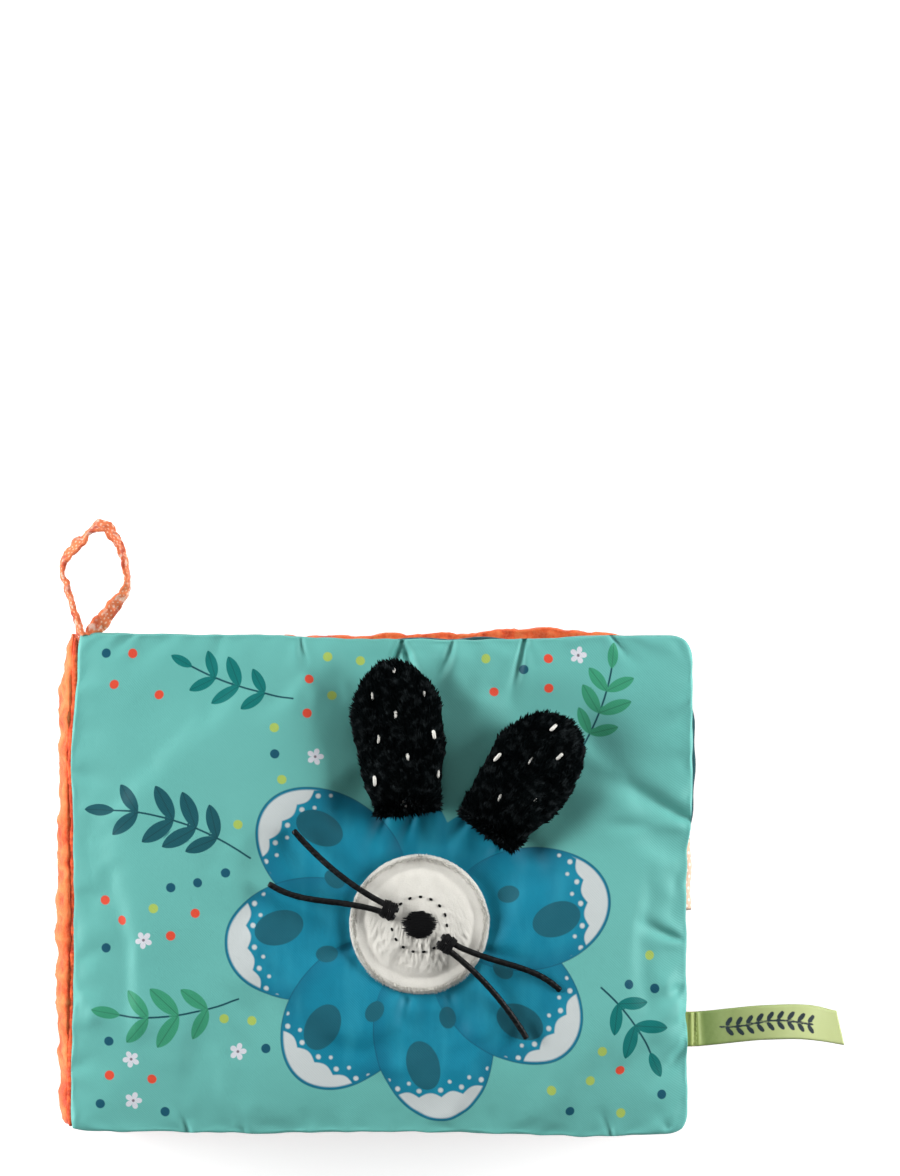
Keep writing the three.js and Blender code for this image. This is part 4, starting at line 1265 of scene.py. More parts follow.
# Sprigs: their foot, direction, length, number of leaf pairs, leaf length, bend and kind of leaf
SPRIGS = [
    ((-43, 8), 146, 46, 4, 13.0, 16, 1),
    ((-47, -38), 200, 38, 3, 12.5, -14, 2),
    ((63, 42), 58, 30, 3, 11.0, 12, 2),
    ((72, -34), -42, 26, 2, 11.5, -12, 3),
    ((-30, 60), 172, 34, 3, 10.5, -10, 3),
]


def sprig_inks(points):
    """Sprigs of paired leaves on curved stems."""
    nearest = np.full(len(points), np.inf)
    leaf = np.tile([-1.0, 1.0, 0.0], (len(points), 1))
    stem_near = np.full(len(points), 9.0)
    stem_side = np.full(len(points), 9.0)
    for foot, angle, length, pairs, size, bend, kind in SPRIGS:
        stem = [np.asarray(foot, float)]
        heading = angle
        for _ in range(12):
            stem.append(stem[-1] + length / 12 * ahead_of(heading))
            heading += bend / 6
        stem = np.array(stem)
        for a, b in zip(stem, stem[1:]):
            distance, _ = line_distance(points, [a, b])
            aim = math.degrees(math.atan2(*(b - a)[::-1]))
            closer = distance < stem_near
            stem_side = np.where(closer, local_place(points, a, aim, 1)[:, 1], stem_side)
            stem_near = np.where(closer, distance, stem_near)
        for k in range(pairs + 1):
            share = 0.22 + 0.78 * k / pairs
            base = stem[round(12 * share)]
            turn = angle + bend * 2 * share
            long = size * (1 - 0.5 * abs(share - 0.5))
            for side in ((0,) if k == pairs else (-1, 1)):
                aim = turn + side * 50
                middle = base + long / 2 * ahead_of(aim)
                blade = ellipse_distance(points, middle, long * 0.51, long * 0.212, aim)
                closer = blade < nearest
                nearest = np.where(closer, blade, nearest)
                place = raised(local_place(points, base, aim, long), kind)
                leaf = np.where(closer[:, None], place, leaf)
    inks = {"leaf": leaf, "leaf_near": nearest, "stem_near": stem_near, "stem_side": stem_side}
    return inks, np.minimum(nearest, stem_near)


def scatter_inks(points):
    """Loose drifts of dots and small five-petalled stars between the other motifs."""
    draw = random.Random(12)
    grid = np.array([(x, y) for x in range(-92, 93, 2) for y in range(-74, 75, 2)], float)
    flower = flower_inks(grid)
    room = np.minimum(sprig_inks(grid)[1], np.minimum.reduce([v for k, v in flower.items() if k != "oval"]))
    for name, (angle, length) in PLUSH_PETALS.items():
        middle = FLOWER + (PETAL_FOOT + length / 2) * ahead_of(angle)
        room = np.minimum(room, ellipse_distance(grid, middle, length / 2 + 2, 18, angle))
    drift = noise_at(raised(grid), 34, 27)
    order = list(range(len(grid)))
    draw.shuffle(order)
    spots = []
    for k in order:
        spot = grid[k] + (draw.uniform(-0.8, 0.8), draw.uniform(-0.8, 0.8))
        apart = all(np.hypot(*(spot - other)) > 8.5 for other in spots)
        if room[k] > 4.0 and drift[k] > 0.24 and apart:
            spots.append(spot)
    kinds = [("star", 1, 2, 3, 2, 1, 3, 2, 1, 3)[k % 10] for k in range(len(spots))]
    found = {}
    for name, wanted, reach in (("dot", (1, 2, 3), 2.6), ("star", ("star",), 3.6)):
        nearest = np.full(len(points), np.inf)
        place = np.tile([9.0, 9.0, 0.0], (len(points), 1))
        for spot, kind in zip(spots, kinds):
            if kind in wanted:
                distance = round_dot(points, spot, 0)
                turned = local_place(points, spot, draw.uniform(0, 72) if kind == "star" else 0, 1)
                closer = distance < nearest
                place = np.where(closer[:, None], raised(turned, 1 if kind == "star" else kind), place)
                nearest = np.where(closer, distance, nearest)
        place[nearest > reach, 2] = 0.0
        found[name] = place
    return found


def add_print(mesh):
    points = get_field(mesh, "cloth")[:, :2]
    for name, values in {**flower_inks(points), **sprig_inks(points)[0], **scatter_inks(points)}.items():
        set_field(mesh, name, np.minimum(values, 60.0))


front_satin = add_front_cover()


# Crinkled orange fabric

def crinkle(points, size, seed, grain=(1.0, 0.45, 1.0)):
    """Crests and valleys of crepe, from about -1 to 1, with sharp crests across each other."""
    stretched = points * np.array(grain)
    crossed = points * np.array([0.6, 1.0, 1.0])
    return (
        0.55 * noise_at(stretched, size, seed, ridged=True)
        + 0.45 * noise_at(crossed, size * 0.6, seed + 1, ridged=True)
        + 0.25 * noise_at(points, size * 0.3, seed + 2)
    )


def normals_of(mesh):
    normals = np.empty(3 * len(mesh.vertices), np.float32)
    mesh.vertex_normals.foreach_get("vector", normals)
    return normals.reshape(-1, 3).astype(float)


def crinkled(obj, depth, size, seed, share=1.0, grain=(1.0, 0.45, 1.0)):
    """Presses the crinkle of crepe into a piece. share lessens it at each point, and grain draws it out."""
    mesh = obj.data
    points = points_of(mesh)
    waves = crinkle(points, size, seed, grain)
    # The crinkle field paints the crepe's crests lighter and its valleys darker: painted light and shade.
    set_field(mesh, "crinkle", waves)
    move_points(mesh, points + normals_of(mesh) * (depth * share * waves)[:, None])


BACK_HEAD_EDGE = [
    (-100, 79.2), (-40, 79.2), (-22, 79.6), (0, 80.1), (20, 80.4), (35, 81.2), (54, 82.1), (66, 81.4),
    (78, 79.9), (90, 78.9), (100, 78.6),
]


def back_outline(flat_x, flat_y, x, y):
    """The slack back cover lies out past the head of the front cover."""
    ragged = 1 + 0.003 * np.sin(x / 6.1) + 0.002 * np.sin(x / 2.9 + 1)
    down = np.where(y > 0, measured(BACK_HEAD_EDGE, x) * ragged, 80.6) / (COVER_HEIGHT / 2)
    return x * np.where(x < 0, 1.004, 0.986), y * down


def add_back_cover():
    cushion = Cushion(
        "back_cover", COVER_WIDTH, COVER_HEIGHT, COVER_CORNER, 2.6, BACK_SEAM_Z,
        ((LINING_RISE, LINING_ROLL), (OUTER_RISE, OUTER_ROLL)), back_outline,
        [MATERIALS["dark_teal_cotton"], MATERIALS["orange_crinkle"]], wrap=(5, 0),
    )
    cushion.settle(slack=0.05, pressure=2.5, cap=1.2)
    obj = subdivided(cushion.obj)
    lining = fabric_of(obj, "back_cover_inside", 0, MATERIALS["dark_teal_cotton"])
    outer = fabric_of(obj, "back_cover_crepe", 1, MATERIALS["orange_crinkle"])
    bpy.data.objects.remove(obj)
    points = points_of(outer.data)
    sunk = smooth_step((points[:, 2] - 7.2) / 1.2)
    crinkled(outer, 0.42, 4.2, 21, share=1 - 0.8 * sunk)
    points = points_of(outer.data)
    resting = 0.05 + 0.12 * (points[:, 2] - 0.35)
    points[:, 2] = np.where(points[:, 2] < 0.35, np.maximum(resting, 0.0), points[:, 2])
    move_points(outer.data, points)
    for piece in (outer, lining):
        thickened(piece, FABRIC)
    fit(outer, "back_cover", ["back_cover_fabric", "back_cover_wadding"])
    fit(lining, "back_cover", ["back_cover_lining"])


add_back_cover()


# Spine

SPINE_X = -100.5
SPINE_BULGE = 5.0
SPINE_HALF = 80.2


def spine_taper(y):
    """How full the spine is: pinched to a slant over its last part at the head, and shorter at the foot."""
    head = clamp((y - 52) / 28)
    foot = clamp((-y - 74.2) / 6)
    full = 1 + 0.16 * np.exp(-(((y + 22) / 32) ** 2)) + 0.14 * np.exp(-(((y - 75) / 2.5) ** 2))
    return full * np.sqrt(np.maximum(1 - head**2.2, 0.06)) * np.sqrt(np.maximum(1 - foot**2.4, 0.04))


def add_spine():
    """A padded strip of crepe that bulges out between the covers, pinched shut at its head and foot."""
    rows = 240
    steps = 44
    middle = (BACK_SEAM_Z + FRONT_SEAM_Z) / 2
    half = (FRONT_SEAM_Z - BACK_SEAM_Z) / 2 - 0.4
    turns = np.linspace(-np.pi / 2, np.pi / 2, steps)
    rings = []
    for y in np.linspace(-SPINE_HALF, SPINE_HALF, rows):
        taper = float(spine_taper(y))
        outer = np.column_stack([
            SPINE_X - 0.4 - (SPINE_BULGE * taper - 0.4) * np.cos(turns) ** 0.7,
            np.full(steps, y),
            middle + half * (0.7 + 0.3 * taper) * np.sin(turns),
        ])
        inner = np.column_stack([
            np.full(10, SPINE_X + 0.1), np.full(10, y),
            middle + half * (0.7 + 0.3 * taper) * np.linspace(0.92, -0.92, 10),
        ])
        inner[:, 0] = np.maximum(inner[:, 0], outer[:, 0].min() + 0.3)
        rings.append(np.vstack([outer, inner]))
    points, faces = skin(rings)
    obj = make_object("spine_crepe", points, faces, [MATERIALS["orange_crinkle"]])
    outward = smooth_step((SPINE_X - 0.4 - points[:, 0]) / 1.4)
    crinkled(obj, 0.4, 7.0, 31, share=outward, grain=(0.35, 1.0, 0.35))
    points = points_of(obj.data)
    puffs = noise_at(points * [0, 1, 0.2], 9.0, 6) + 0.5 * noise_at(points * [0, 1, 0.3], 4.0, 7)
    points[:, 0] -= outward * (0.15 + 0.75 * puffs)
    from_seam = points[:, 0] + measured(SPINE_EDGE, points[:, 1]) + 0.1
    tucked = np.exp(-((from_seam / 0.9) ** 2)) * smooth_step((points[:, 2] - middle - 0.5 * half) / 4)
    points[:, 2] -= 1.5 * tucked
    move_points(obj.data, points)
    # Painted shade: the crepe is painted darker where it tucks under the cover's edge.
    set_field(obj.data, "crinkle", 0.25 + crinkle(points, 7.0, 31, (0.35, 1.0, 0.35)) - 1.6 * tucked)
    fit(obj, "spine", ["spine_fabric", "spine_wadding"])


def add_spine_lining():
    rows, columns = 90, 14
    low, high = BACK_SEAM_Z + 2.4, FRONT_SEAM_Z - 2.4
    path = np.column_stack([np.full(rows, SPINE_X + 0.3), np.linspace(-76.5, 76.5, rows),
                            np.full(rows, (low + high) / 2)])
    rings = strip_rings(path, np.tile(UP, (rows, 1)), high - low, 0.5, columns)
    points, faces = skin(rings)
    cloth = points[:, [1, 2, 0]]
    obj = make_object("spine_inside", points, faces, [MATERIALS["dark_teal_cotton"]], {"cloth": cloth})
    points = points_of(obj.data)
    points[:, 0] += 0.12 * noise_at(points * [0, 1, 1], 6, 7)
    move_points(obj.data, points)
    fit(obj, "spine", ["spine_lining"])


def add_hinge(name, bodies, z, toward, seed):
    """A roll of crepe that joins the spine to a cover."""
    rows = 220
    y = np.linspace(-80.2, 79.0, rows)
    beside = np.full(rows, SPINE_X - 0.3)
    if toward > 0:
        beside = np.minimum(0.2 - measured(SPINE_EDGE, y), SPINE_X + 0.5)
    path = np.column_stack([beside, y, np.full(rows, z - 1.6 * toward)])
    radius = 1.3 * np.sqrt(1 - np.linspace(-1, 1, rows) ** 24 * 0.9)
    points, faces = skin(tube_rings(path, radius, 14))
    obj = make_object(name, points, faces, [MATERIALS["orange_crinkle"]])
    crinkled(obj, 0.15, 3.0, seed, grain=(0.35, 1.0, 0.35))
    # Painted shade: the roll is painted darker all along, as the shaded line beside the cover.
    set_field(obj.data, "crinkle", crinkle(points, 3.0, seed, (0.35, 1.0, 0.35)) - 0.7)
    start = np.array([SPINE_X - 1.0, 0, z - 0.8 * toward])
    end = np.array([SPINE_X + 0.9, 0, z + 0.4 * toward])
    if bodies[0] != "spine":
        start, end = end, start
    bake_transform(obj)


add_spine()
add_spine_lining()
add_hinge("front_hinge_crepe", ("spine", "front_cover"), FRONT_SEAM_Z, 1, 41)
add_hinge("back_hinge_crepe", ("back_cover", "spine"), BACK_SEAM_Z, -1, 43)


# Pages

def page_outline(page):
    """A page's own uneven edge. The first page's fore edge peeps out past the cover."""
    def outline(flat_x, flat_y, x, y):
        side, end = x / (PAGE_WIDTH / 2), y / (PAGE_HEIGHT / 2)
        drawn = 0.5 * np.sin(y / 23 + page) + 0.3 * np.sin(y / 7.5 + 2 * page)
        peep = 0.0
        if page == 1:
            peep = 3.5 * np.exp(-(((y - 38) / 23) ** 4)) * (1 + 0.1 * np.sin(y / 2.6) + 0.07 * np.sin(y / 7.3))
        new_x = x + PAGE_X + side**4 * np.where(x > 0, 0.25 * drawn - 0.1 + peep, -0.1 * drawn)
        head = 0.35 * np.sin(x / 19 + 3 * page)
        if page == 1:
            head = head + (1.15 + 0.5 * np.sin(x / 3.7)) * np.exp(-(((x - 25) / 26) ** 2))
        return new_x, y + end**5 * (np.where(y > 0, head - 0.1, 0.3 * np.sin(x / 17 + page)))
    return outline


def add_page(page):
    z = PAGE_Z[page]
    cushion = Cushion(
        f"page_{page}_cotton", PAGE_WIDTH, PAGE_HEIGHT, PAGE_CORNER, 4.2, z,
        ((PAGE_HALF, PAGE_ROLL), (PAGE_HALF, PAGE_ROLL)), page_outline(page), [MATERIALS["dark_teal_cotton"]],
    )
    cushion.settle(slack=0.04, pressure=1.5, cap=0.5, frames=12)
    obj = subdivided(cushion.obj)
    points, cloth = points_of(obj.data), get_field(obj.data, "cloth")
    from_pocket = np.maximum(np.abs(cloth[:, 0]) - POCKET_WIDTH / 2, np.abs(cloth[:, 1]) - POCKET_HEIGHT / 2)
    pressed = smooth_step((2.5 - from_pocket) / 6)
    lift = points[:, 2] - z
    wave = 0.12 * noise_at(raised(cloth[:, :2], 30.0 * page), 21, 9)
    limit = PAGE_HALF + 0.12 - (PAGE_HALF + 0.12 - PAGE_POCKET_HALF) * pressed
    points[:, 2] = z + np.sign(lift) * np.minimum(np.abs(lift), limit) + wave * (1 - pressed)
    move_points(obj.data, points)
    fit(obj, f"page_{page}", [f"page_{page}_sleeve", f"page_{page}_wadding"])
    return obj


def add_page_hinge(page):
    """The page's tongue of cotton, where it is sewn to the spine."""
    z = PAGE_Z[page]
    rows = 120
    path = np.column_stack([np.full(rows, -94.6), np.linspace(-75.3, 75.3, rows), np.full(rows, z)])
    rings = strip_rings(path, np.tile([-1.0, 0, 0], (rows, 1)), 11.6, 1.0, 15)
    points, faces = skin(rings)
    points[:, 2] += 0.15 * noise_at(points * [0.3, 1, 0], 9, page)
    cloth = points * [1, 1, 0]
    obj = make_object(f"page_{page}_hinge", points, faces, [MATERIALS["dark_teal_cotton"]], {"cloth": cloth})
    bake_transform(obj)


def outline_path(width, height, corner, count, middle=(0.0, 0.0), open_head=False):
    """Points round a rectangle with round corners, from the head's left end down and round."""
    corners = [(-1, -1, 180), (1, -1, 270), (1, 1, 0), (-1, 1, 90)]
    points = []
    for sx, sy, first in corners:
        centre = np.array([sx * (width / 2 - corner), sy * (height / 2 - corner)])
        if open_head and sy > 0:
            continue
        for turn in range(0, 91, 15):
            points.append(centre + corner * ahead_of(first + turn))
    if open_head:
        points = [np.array([-width / 2, height / 2]), *points, np.array([width / 2, height / 2])]
    return spaced(np.array(points) + middle, count, closed=not open_head)


def add_pocket(owner, body, face_z, up):
    """A clear window in a folded tape, open at the head, sewn on a fabric face at height face_z."""
    across = np.linspace(-1, 1, 40)
    down = np.linspace(-1, 1, 28)
    gx, gy = np.meshgrid(across * 78, down * 52.5, indexing="ij")
    low = face_z + up * 0.3
    swell = 0.16 * np.cos(gx / 156 * np.pi) * np.cos(gy / 105 * np.pi)
    sheet_z = low + up * (0.08 + swell + 0.05 * np.sin(gx / 11 + gy / 17))
    top = np.stack([gx + PAGE_X, gy, sheet_z + 0.09], axis=-1).reshape(-1, 3)
    base = np.stack([gx + PAGE_X, gy, sheet_z - 0.09], axis=-1).reshape(-1, 3)
    grid = np.arange(gx.size).reshape(gx.shape)
    quads, loop = grid_quads(grid), grid_rim(grid)
    rim = [(a, a + gx.size, b + gx.size, b) for a, b in zip(loop, loop[1:] + loop[:1])]
    faces = [*quads.tolist(), *(quads[:, ::-1] + gx.size).tolist(), *rim]
    window = make_object(f"{owner}_clear_window", np.vstack([top, base]), faces, [MATERIALS["clear_vinyl"]])
    fit(window, body, [f"{owner}_window"])

    middle = (PAGE_X, TAPE_WIDTH / 2)
    flat = outline_path(POCKET_WIDTH - TAPE_WIDTH, POCKET_HEIGHT, 4, 200, middle, open_head=True)
    flat[:, 1] = np.minimum(flat[:, 1], POCKET_HEIGHT / 2)
    path = raised(flat, face_z + up * 0.62)
    along = unit(np.gradient(path, axis=0))
    sideways = np.cross(along, UP)
    rings = strip_rings(path, sideways * up, TAPE_WIDTH, TAPE_THICK * 0.9, 9)
    points, faces = skin(rings)
    points[:, 2] += 0.05 * noise_at(points * [1, 1, 0], 5, 3)
    tape = make_object(
        f"{owner}_tape", points, faces, [MATERIALS["plain_teal_cotton"]], {"cloth": points * [1, 1, 0]}
    )
    fit(tape, body, [f"{owner}_binding"])
    level = face_z + up * (0.62 + 0.4)
    lines = [(raised(flat + sideways[:, :2] * off, level), False) for off in (-2.4, 2.4)]
    sewn = stitched(f"{owner}_tape_stitches", lines, "teal_thread", 2.9, 2.1, 0.42)
    fit(sewn, body)


def add_edge_stitches(page, obj):
    """A row of stitches near the edge of a page, on both of its faces."""
    flat = outline_path(PAGE_WIDTH - 7, PAGE_HEIGHT - 7, 4, 420)
    path = np.column_stack(page_outline(page)(*flat.T, *flat.T))
    lines = []
    for above in (1, -1):
        placed = drop_on(path, obj, above)
        placed[:, 2] += above * 0.02
        lines.append((placed, True))
    sewn = stitched(f"page_{page}_edge_stitches", lines, "teal_thread", 3.3, 2.4, 0.42)
    fit(sewn, f"page_{page}")


for number, page_z in PAGE_Z.items():
    page_cotton = add_page(number)
    add_page_hinge(number)
    for face, up_sign in (("front", 1), ("back", -1)):
        add_pocket(f"page_{number}_{face}", f"page_{number}", page_z + up_sign * 1.5, up_sign)
    add_edge_stitches(number, page_cotton)

add_pocket("back_cover_pocket", "back_cover", 9.0, 1)
add_pocket("front_cover_pocket", "front_cover", 33.0, -1)


# Plush disc in the flower's middle

COMB_PARTING = np.array([-1.0, 30.0])
SEED_RADIUS = 9.0
DISC_RIM = 4.0


def disc_height(radius):
    """The disc's height over the cover: a flat pressed rim, a groove, and a low dome."""
    inner = DISC_RADIUS - DISC_RIM
    rim = 1.35 - 0.6 * clamp((radius - (DISC_RADIUS - 1.2)) / 1.2) ** 2
    dome = 1.35 + 2.4 * clamp(1 - (radius / inner) ** 2) ** 1.1
    groove = 0.45 * np.exp(-(((radius - inner) / 1.5) ** 2))
    return np.where(radius < inner, dome, rim) - groove


def add_disc():
    """Cream plush, pressed flat round its rim, its nap combed down and fanning out over the dome."""
    rings, sides = 80, 200
    turns = 2 * np.pi * np.arange(sides) / sides
    wobble = 1 + 0.01 * np.sin(5 * turns + 0.5) + 0.006 * np.sin(13 * turns)
    stack = []
    for share in np.linspace(0, 1, rings)[::-1]:
        radius = DISC_RADIUS * max(share, 0.01)
        height = disc_height(np.full(sides, radius))
        stack.append(np.column_stack([
            FLOWER[0] + radius * wobble * np.cos(turns), FLOWER[1] + radius * wobble * np.sin(turns),
            COVER_TOP + height,
        ]))
    foot = stack[0].copy()
    foot[:, 2] = COVER_TOP - 1.2
    points, faces = skin([foot, *stack])
    offset = points[:, :2] - FLOWER
    radius = np.linalg.norm(offset, axis=1)
    from_parting = offset - COMB_PARTING
    fan = np.arctan2(from_parting[:, 0], -from_parting[:, 1])
    length = np.linalg.norm(from_parting, axis=1)
    streak = np.column_stack([fan * 30 / 3.2, length / 9, 0 * length])
    tufts = 0.6 * noise_at(streak, 1, 2) + 0.4 * noise_at(streak * 0.4, 1, 5)
    lower = smooth_step((9 - offset[:, 1]) / 18)
    tufts += lower * (0.4 * noise_at(streak * [1.6, 1.3, 1], 1, 9, ridged=True) - 0.1)
    tufts = clamp(tufts, -0.8, 0.9)
    strands = clamp(noise_at(streak * [4.0, 2.4, 1], 1, 13, ridged=True), -0.8, 1.0)
    inside = smooth_step((DISC_RADIUS - DISC_RIM - radius) / 2.6)
    points[:, 2] += inside * (0.2 + 0.8 * lower) * (0.62 * tufts + 0.16 * strands)
    comb = np.column_stack([np.sin(fan), -np.cos(fan), 0 * radius])
    comb[:, 0] += 0.3 * noise_at(raised(offset), 7, 5)
    outward = raised(offset) / np.maximum(radius, 1)[:, None]
    at_rim = radius > DISC_RADIUS - 1.0
    comb[at_rim] = 0.45 * outward[at_rim] + [0, -0.6, 0]
    combed = at_rim & (points[:, 2] > COVER_TOP - 0.4)
    # Painted light: the plush is painted lighter where its tufts stand higher.
    obj = make_object("flower_disc_plush", points, faces, [MATERIALS["cream_plush"]],
                      {"comb": comb, "pile": combed.astype(float), "tip": 0.65 + 0.2 * tufts})
    nap = furred(obj, "flower_disc_nap", "cream_plush", 9.0, 1.5, 0.26, 0.2, 0.5, 1.6, seed=6)
    fit(obj, "front_cover", ["flower_disc"])
    fit(nap, "front_cover")


def arc(radius, height, first=0.0, last=360.0, count=300):
    """Points round the flower's middle, from one angle to another."""
    turns = np.radians(np.linspace(first, last, count, endpoint=last - first < 360))
    return raised(FLOWER + radius * np.column_stack([np.cos(turns), np.sin(turns)]), height)


def add_disc_border():
    """Close short stitches over the disc's edge, each lying across it."""
    lines = [(arc(DISC_RADIUS + 0.25, COVER_TOP + 0.5), True)]
    sewn = stitched("disc_border_stitches", lines, "white_thread", 0.5, 1.5, 0.52, slant=1.35, seed=9)
    points = points_of(sewn.data)
    outward = np.linalg.norm(points[:, :2] - FLOWER, axis=1) - DISC_RADIUS - 0.25
    points[:, 2] += 0.25 - 0.6 * outward
    move_points(sewn.data, points)
    fit(sewn, "front_cover", ["disc_border"])


def add_knot():
    """The black oval in the middle, of satin stitches side by side, and a ring of seed stitches round it."""
    half_long, half_wide = 5.9, 4.4
    top = COVER_TOP + float(disc_height(np.array(0.0))) + 0.35
    draw = random.Random(8)
    parts = []
    share = np.linspace(-1, 1, 13)
    for y in np.arange(-half_wide + 0.2, half_wide, 0.3):
        half = half_long * math.sqrt(max(0.1, 1 - (y / half_wide) ** 2)) * draw.uniform(0.88, 1.06)
        shift = draw.uniform(-0.45, 0.45)
        path = np.column_stack([
            FLOWER[0] + shift + half * share, FLOWER[1] + y + 0.1 * np.sin(3 * share + 9 * y),
            top + 0.95 * np.sqrt(clamp(1 - (y / (half_wide + 0.5)) ** 2)) * (1 - share**4) - 0.5 * share**6,
        ])
        parts.append(skin(tube_rings(path, 0.26 * np.sqrt(1.03 - share**8), 7)))
    points, faces = joined(parts)
    obj = make_object("disc_knot_stitches", points, faces, [MATERIALS["black_thread"]])
    fit(obj, "front_cover", ["disc_knot"])
    level = COVER_TOP + float(disc_height(np.array(SEED_RADIUS))) + 0.2
    arcs = [(arc(SEED_RADIUS, level, angle - 157, angle - 23, 60), False) for angle in CORD_PAIRS.values()]
    sewn = stitched("disc_seed_stitches", arcs, "black_thread", 3.4, 1.2, 0.85, seed=5)
    fit(sewn, "front_cover")


def add_saddle(pair):
    """A bar tack: turns of black thread wound over the two cords."""
    middle, ahead, sideways = flower_axes(CORD_PAIRS[pair])
    parts = []
    for k in range(9):
        out = SADDLE_START - 1.4 + 0.5 * k
        sweep = np.linspace(-0.15, np.pi + 0.15, 20)
        wide = 2.55 + 0.12 * ((k * 3) % 4)
        rise = np.sin(sweep)
        up = np.where(rise > 0, 2.9 + 3.75 * np.abs(rise) ** 0.6, 2.6)
        lean = 0.2 * np.cos(sweep + k)
        path = middle + np.outer(out + lean, ahead) + np.outer(wide * np.cos(sweep), sideways)
        path += np.outer(up, UP)
        parts.append(skin(tube_rings(through(path, 30), 0.33, 7)))
    points, faces = joined(parts)
    obj = make_object(f"{pair}_bar_tack", points, faces, [MATERIALS["black_thread"]])
    fit(obj, "front_cover", [f"{pair}_stamen_saddle"])


add_disc()
add_disc_border()
add_knot()
for pair_name in CORD_PAIRS:
    add_saddle(pair_name)


# Plush petals

PETAL_WIDTH = 31.0
PETAL_FOOT_WIDTH = 21.5
PETAL_WIDEST = 0.58
PETAL_SHRINK = 0.87
# The petals' stitches: their place along and across, and how far each stands out of the pile
PETAL_STITCHES = {
    "upper_petal": [
        (0.95, -0.1, 1.0), (0.79, 0.62, 0.25), (0.77, -0.78, 0.1), (0.65, 0.04, 0.15), (0.51, 0.5, 0.1),
        (0.5, -0.84, 1.5), (0.37, -0.16, 0.1), (0.24, 0.8, 1.4), (0.24, -0.94, 0.4), (0.07, 0.06, 0.2),
    ],
    "side_petal": [
        (0.9, 0.28, 1.5), (0.5, 0.86, 1.4), (0.62, 0.16, 0.3), (0.76, -0.38, 0.45), (0.42, -0.5, 0.3),
        (0.28, 0.26, 0.2),
    ],
}


def petal_half_width(share):
    foot, widest = PETAL_FOOT_WIDTH / 2, PETAL_WIDTH / 2
    growing = foot + (widest - foot) * np.sin(np.pi / 2 * clamp(share / PETAL_WIDEST))
    rounding = widest * np.sqrt(clamp(1 - ((share - PETAL_WIDEST) / (1 - PETAL_WIDEST)) ** 2))
    return np.where(share < PETAL_WIDEST, growing, rounding)


def petal_lift(x, length):
    """The height of a petal's underside over the cover, which grows towards its tip."""
    return 0.5 + 3.8 * clamp(x / length) ** 1.3


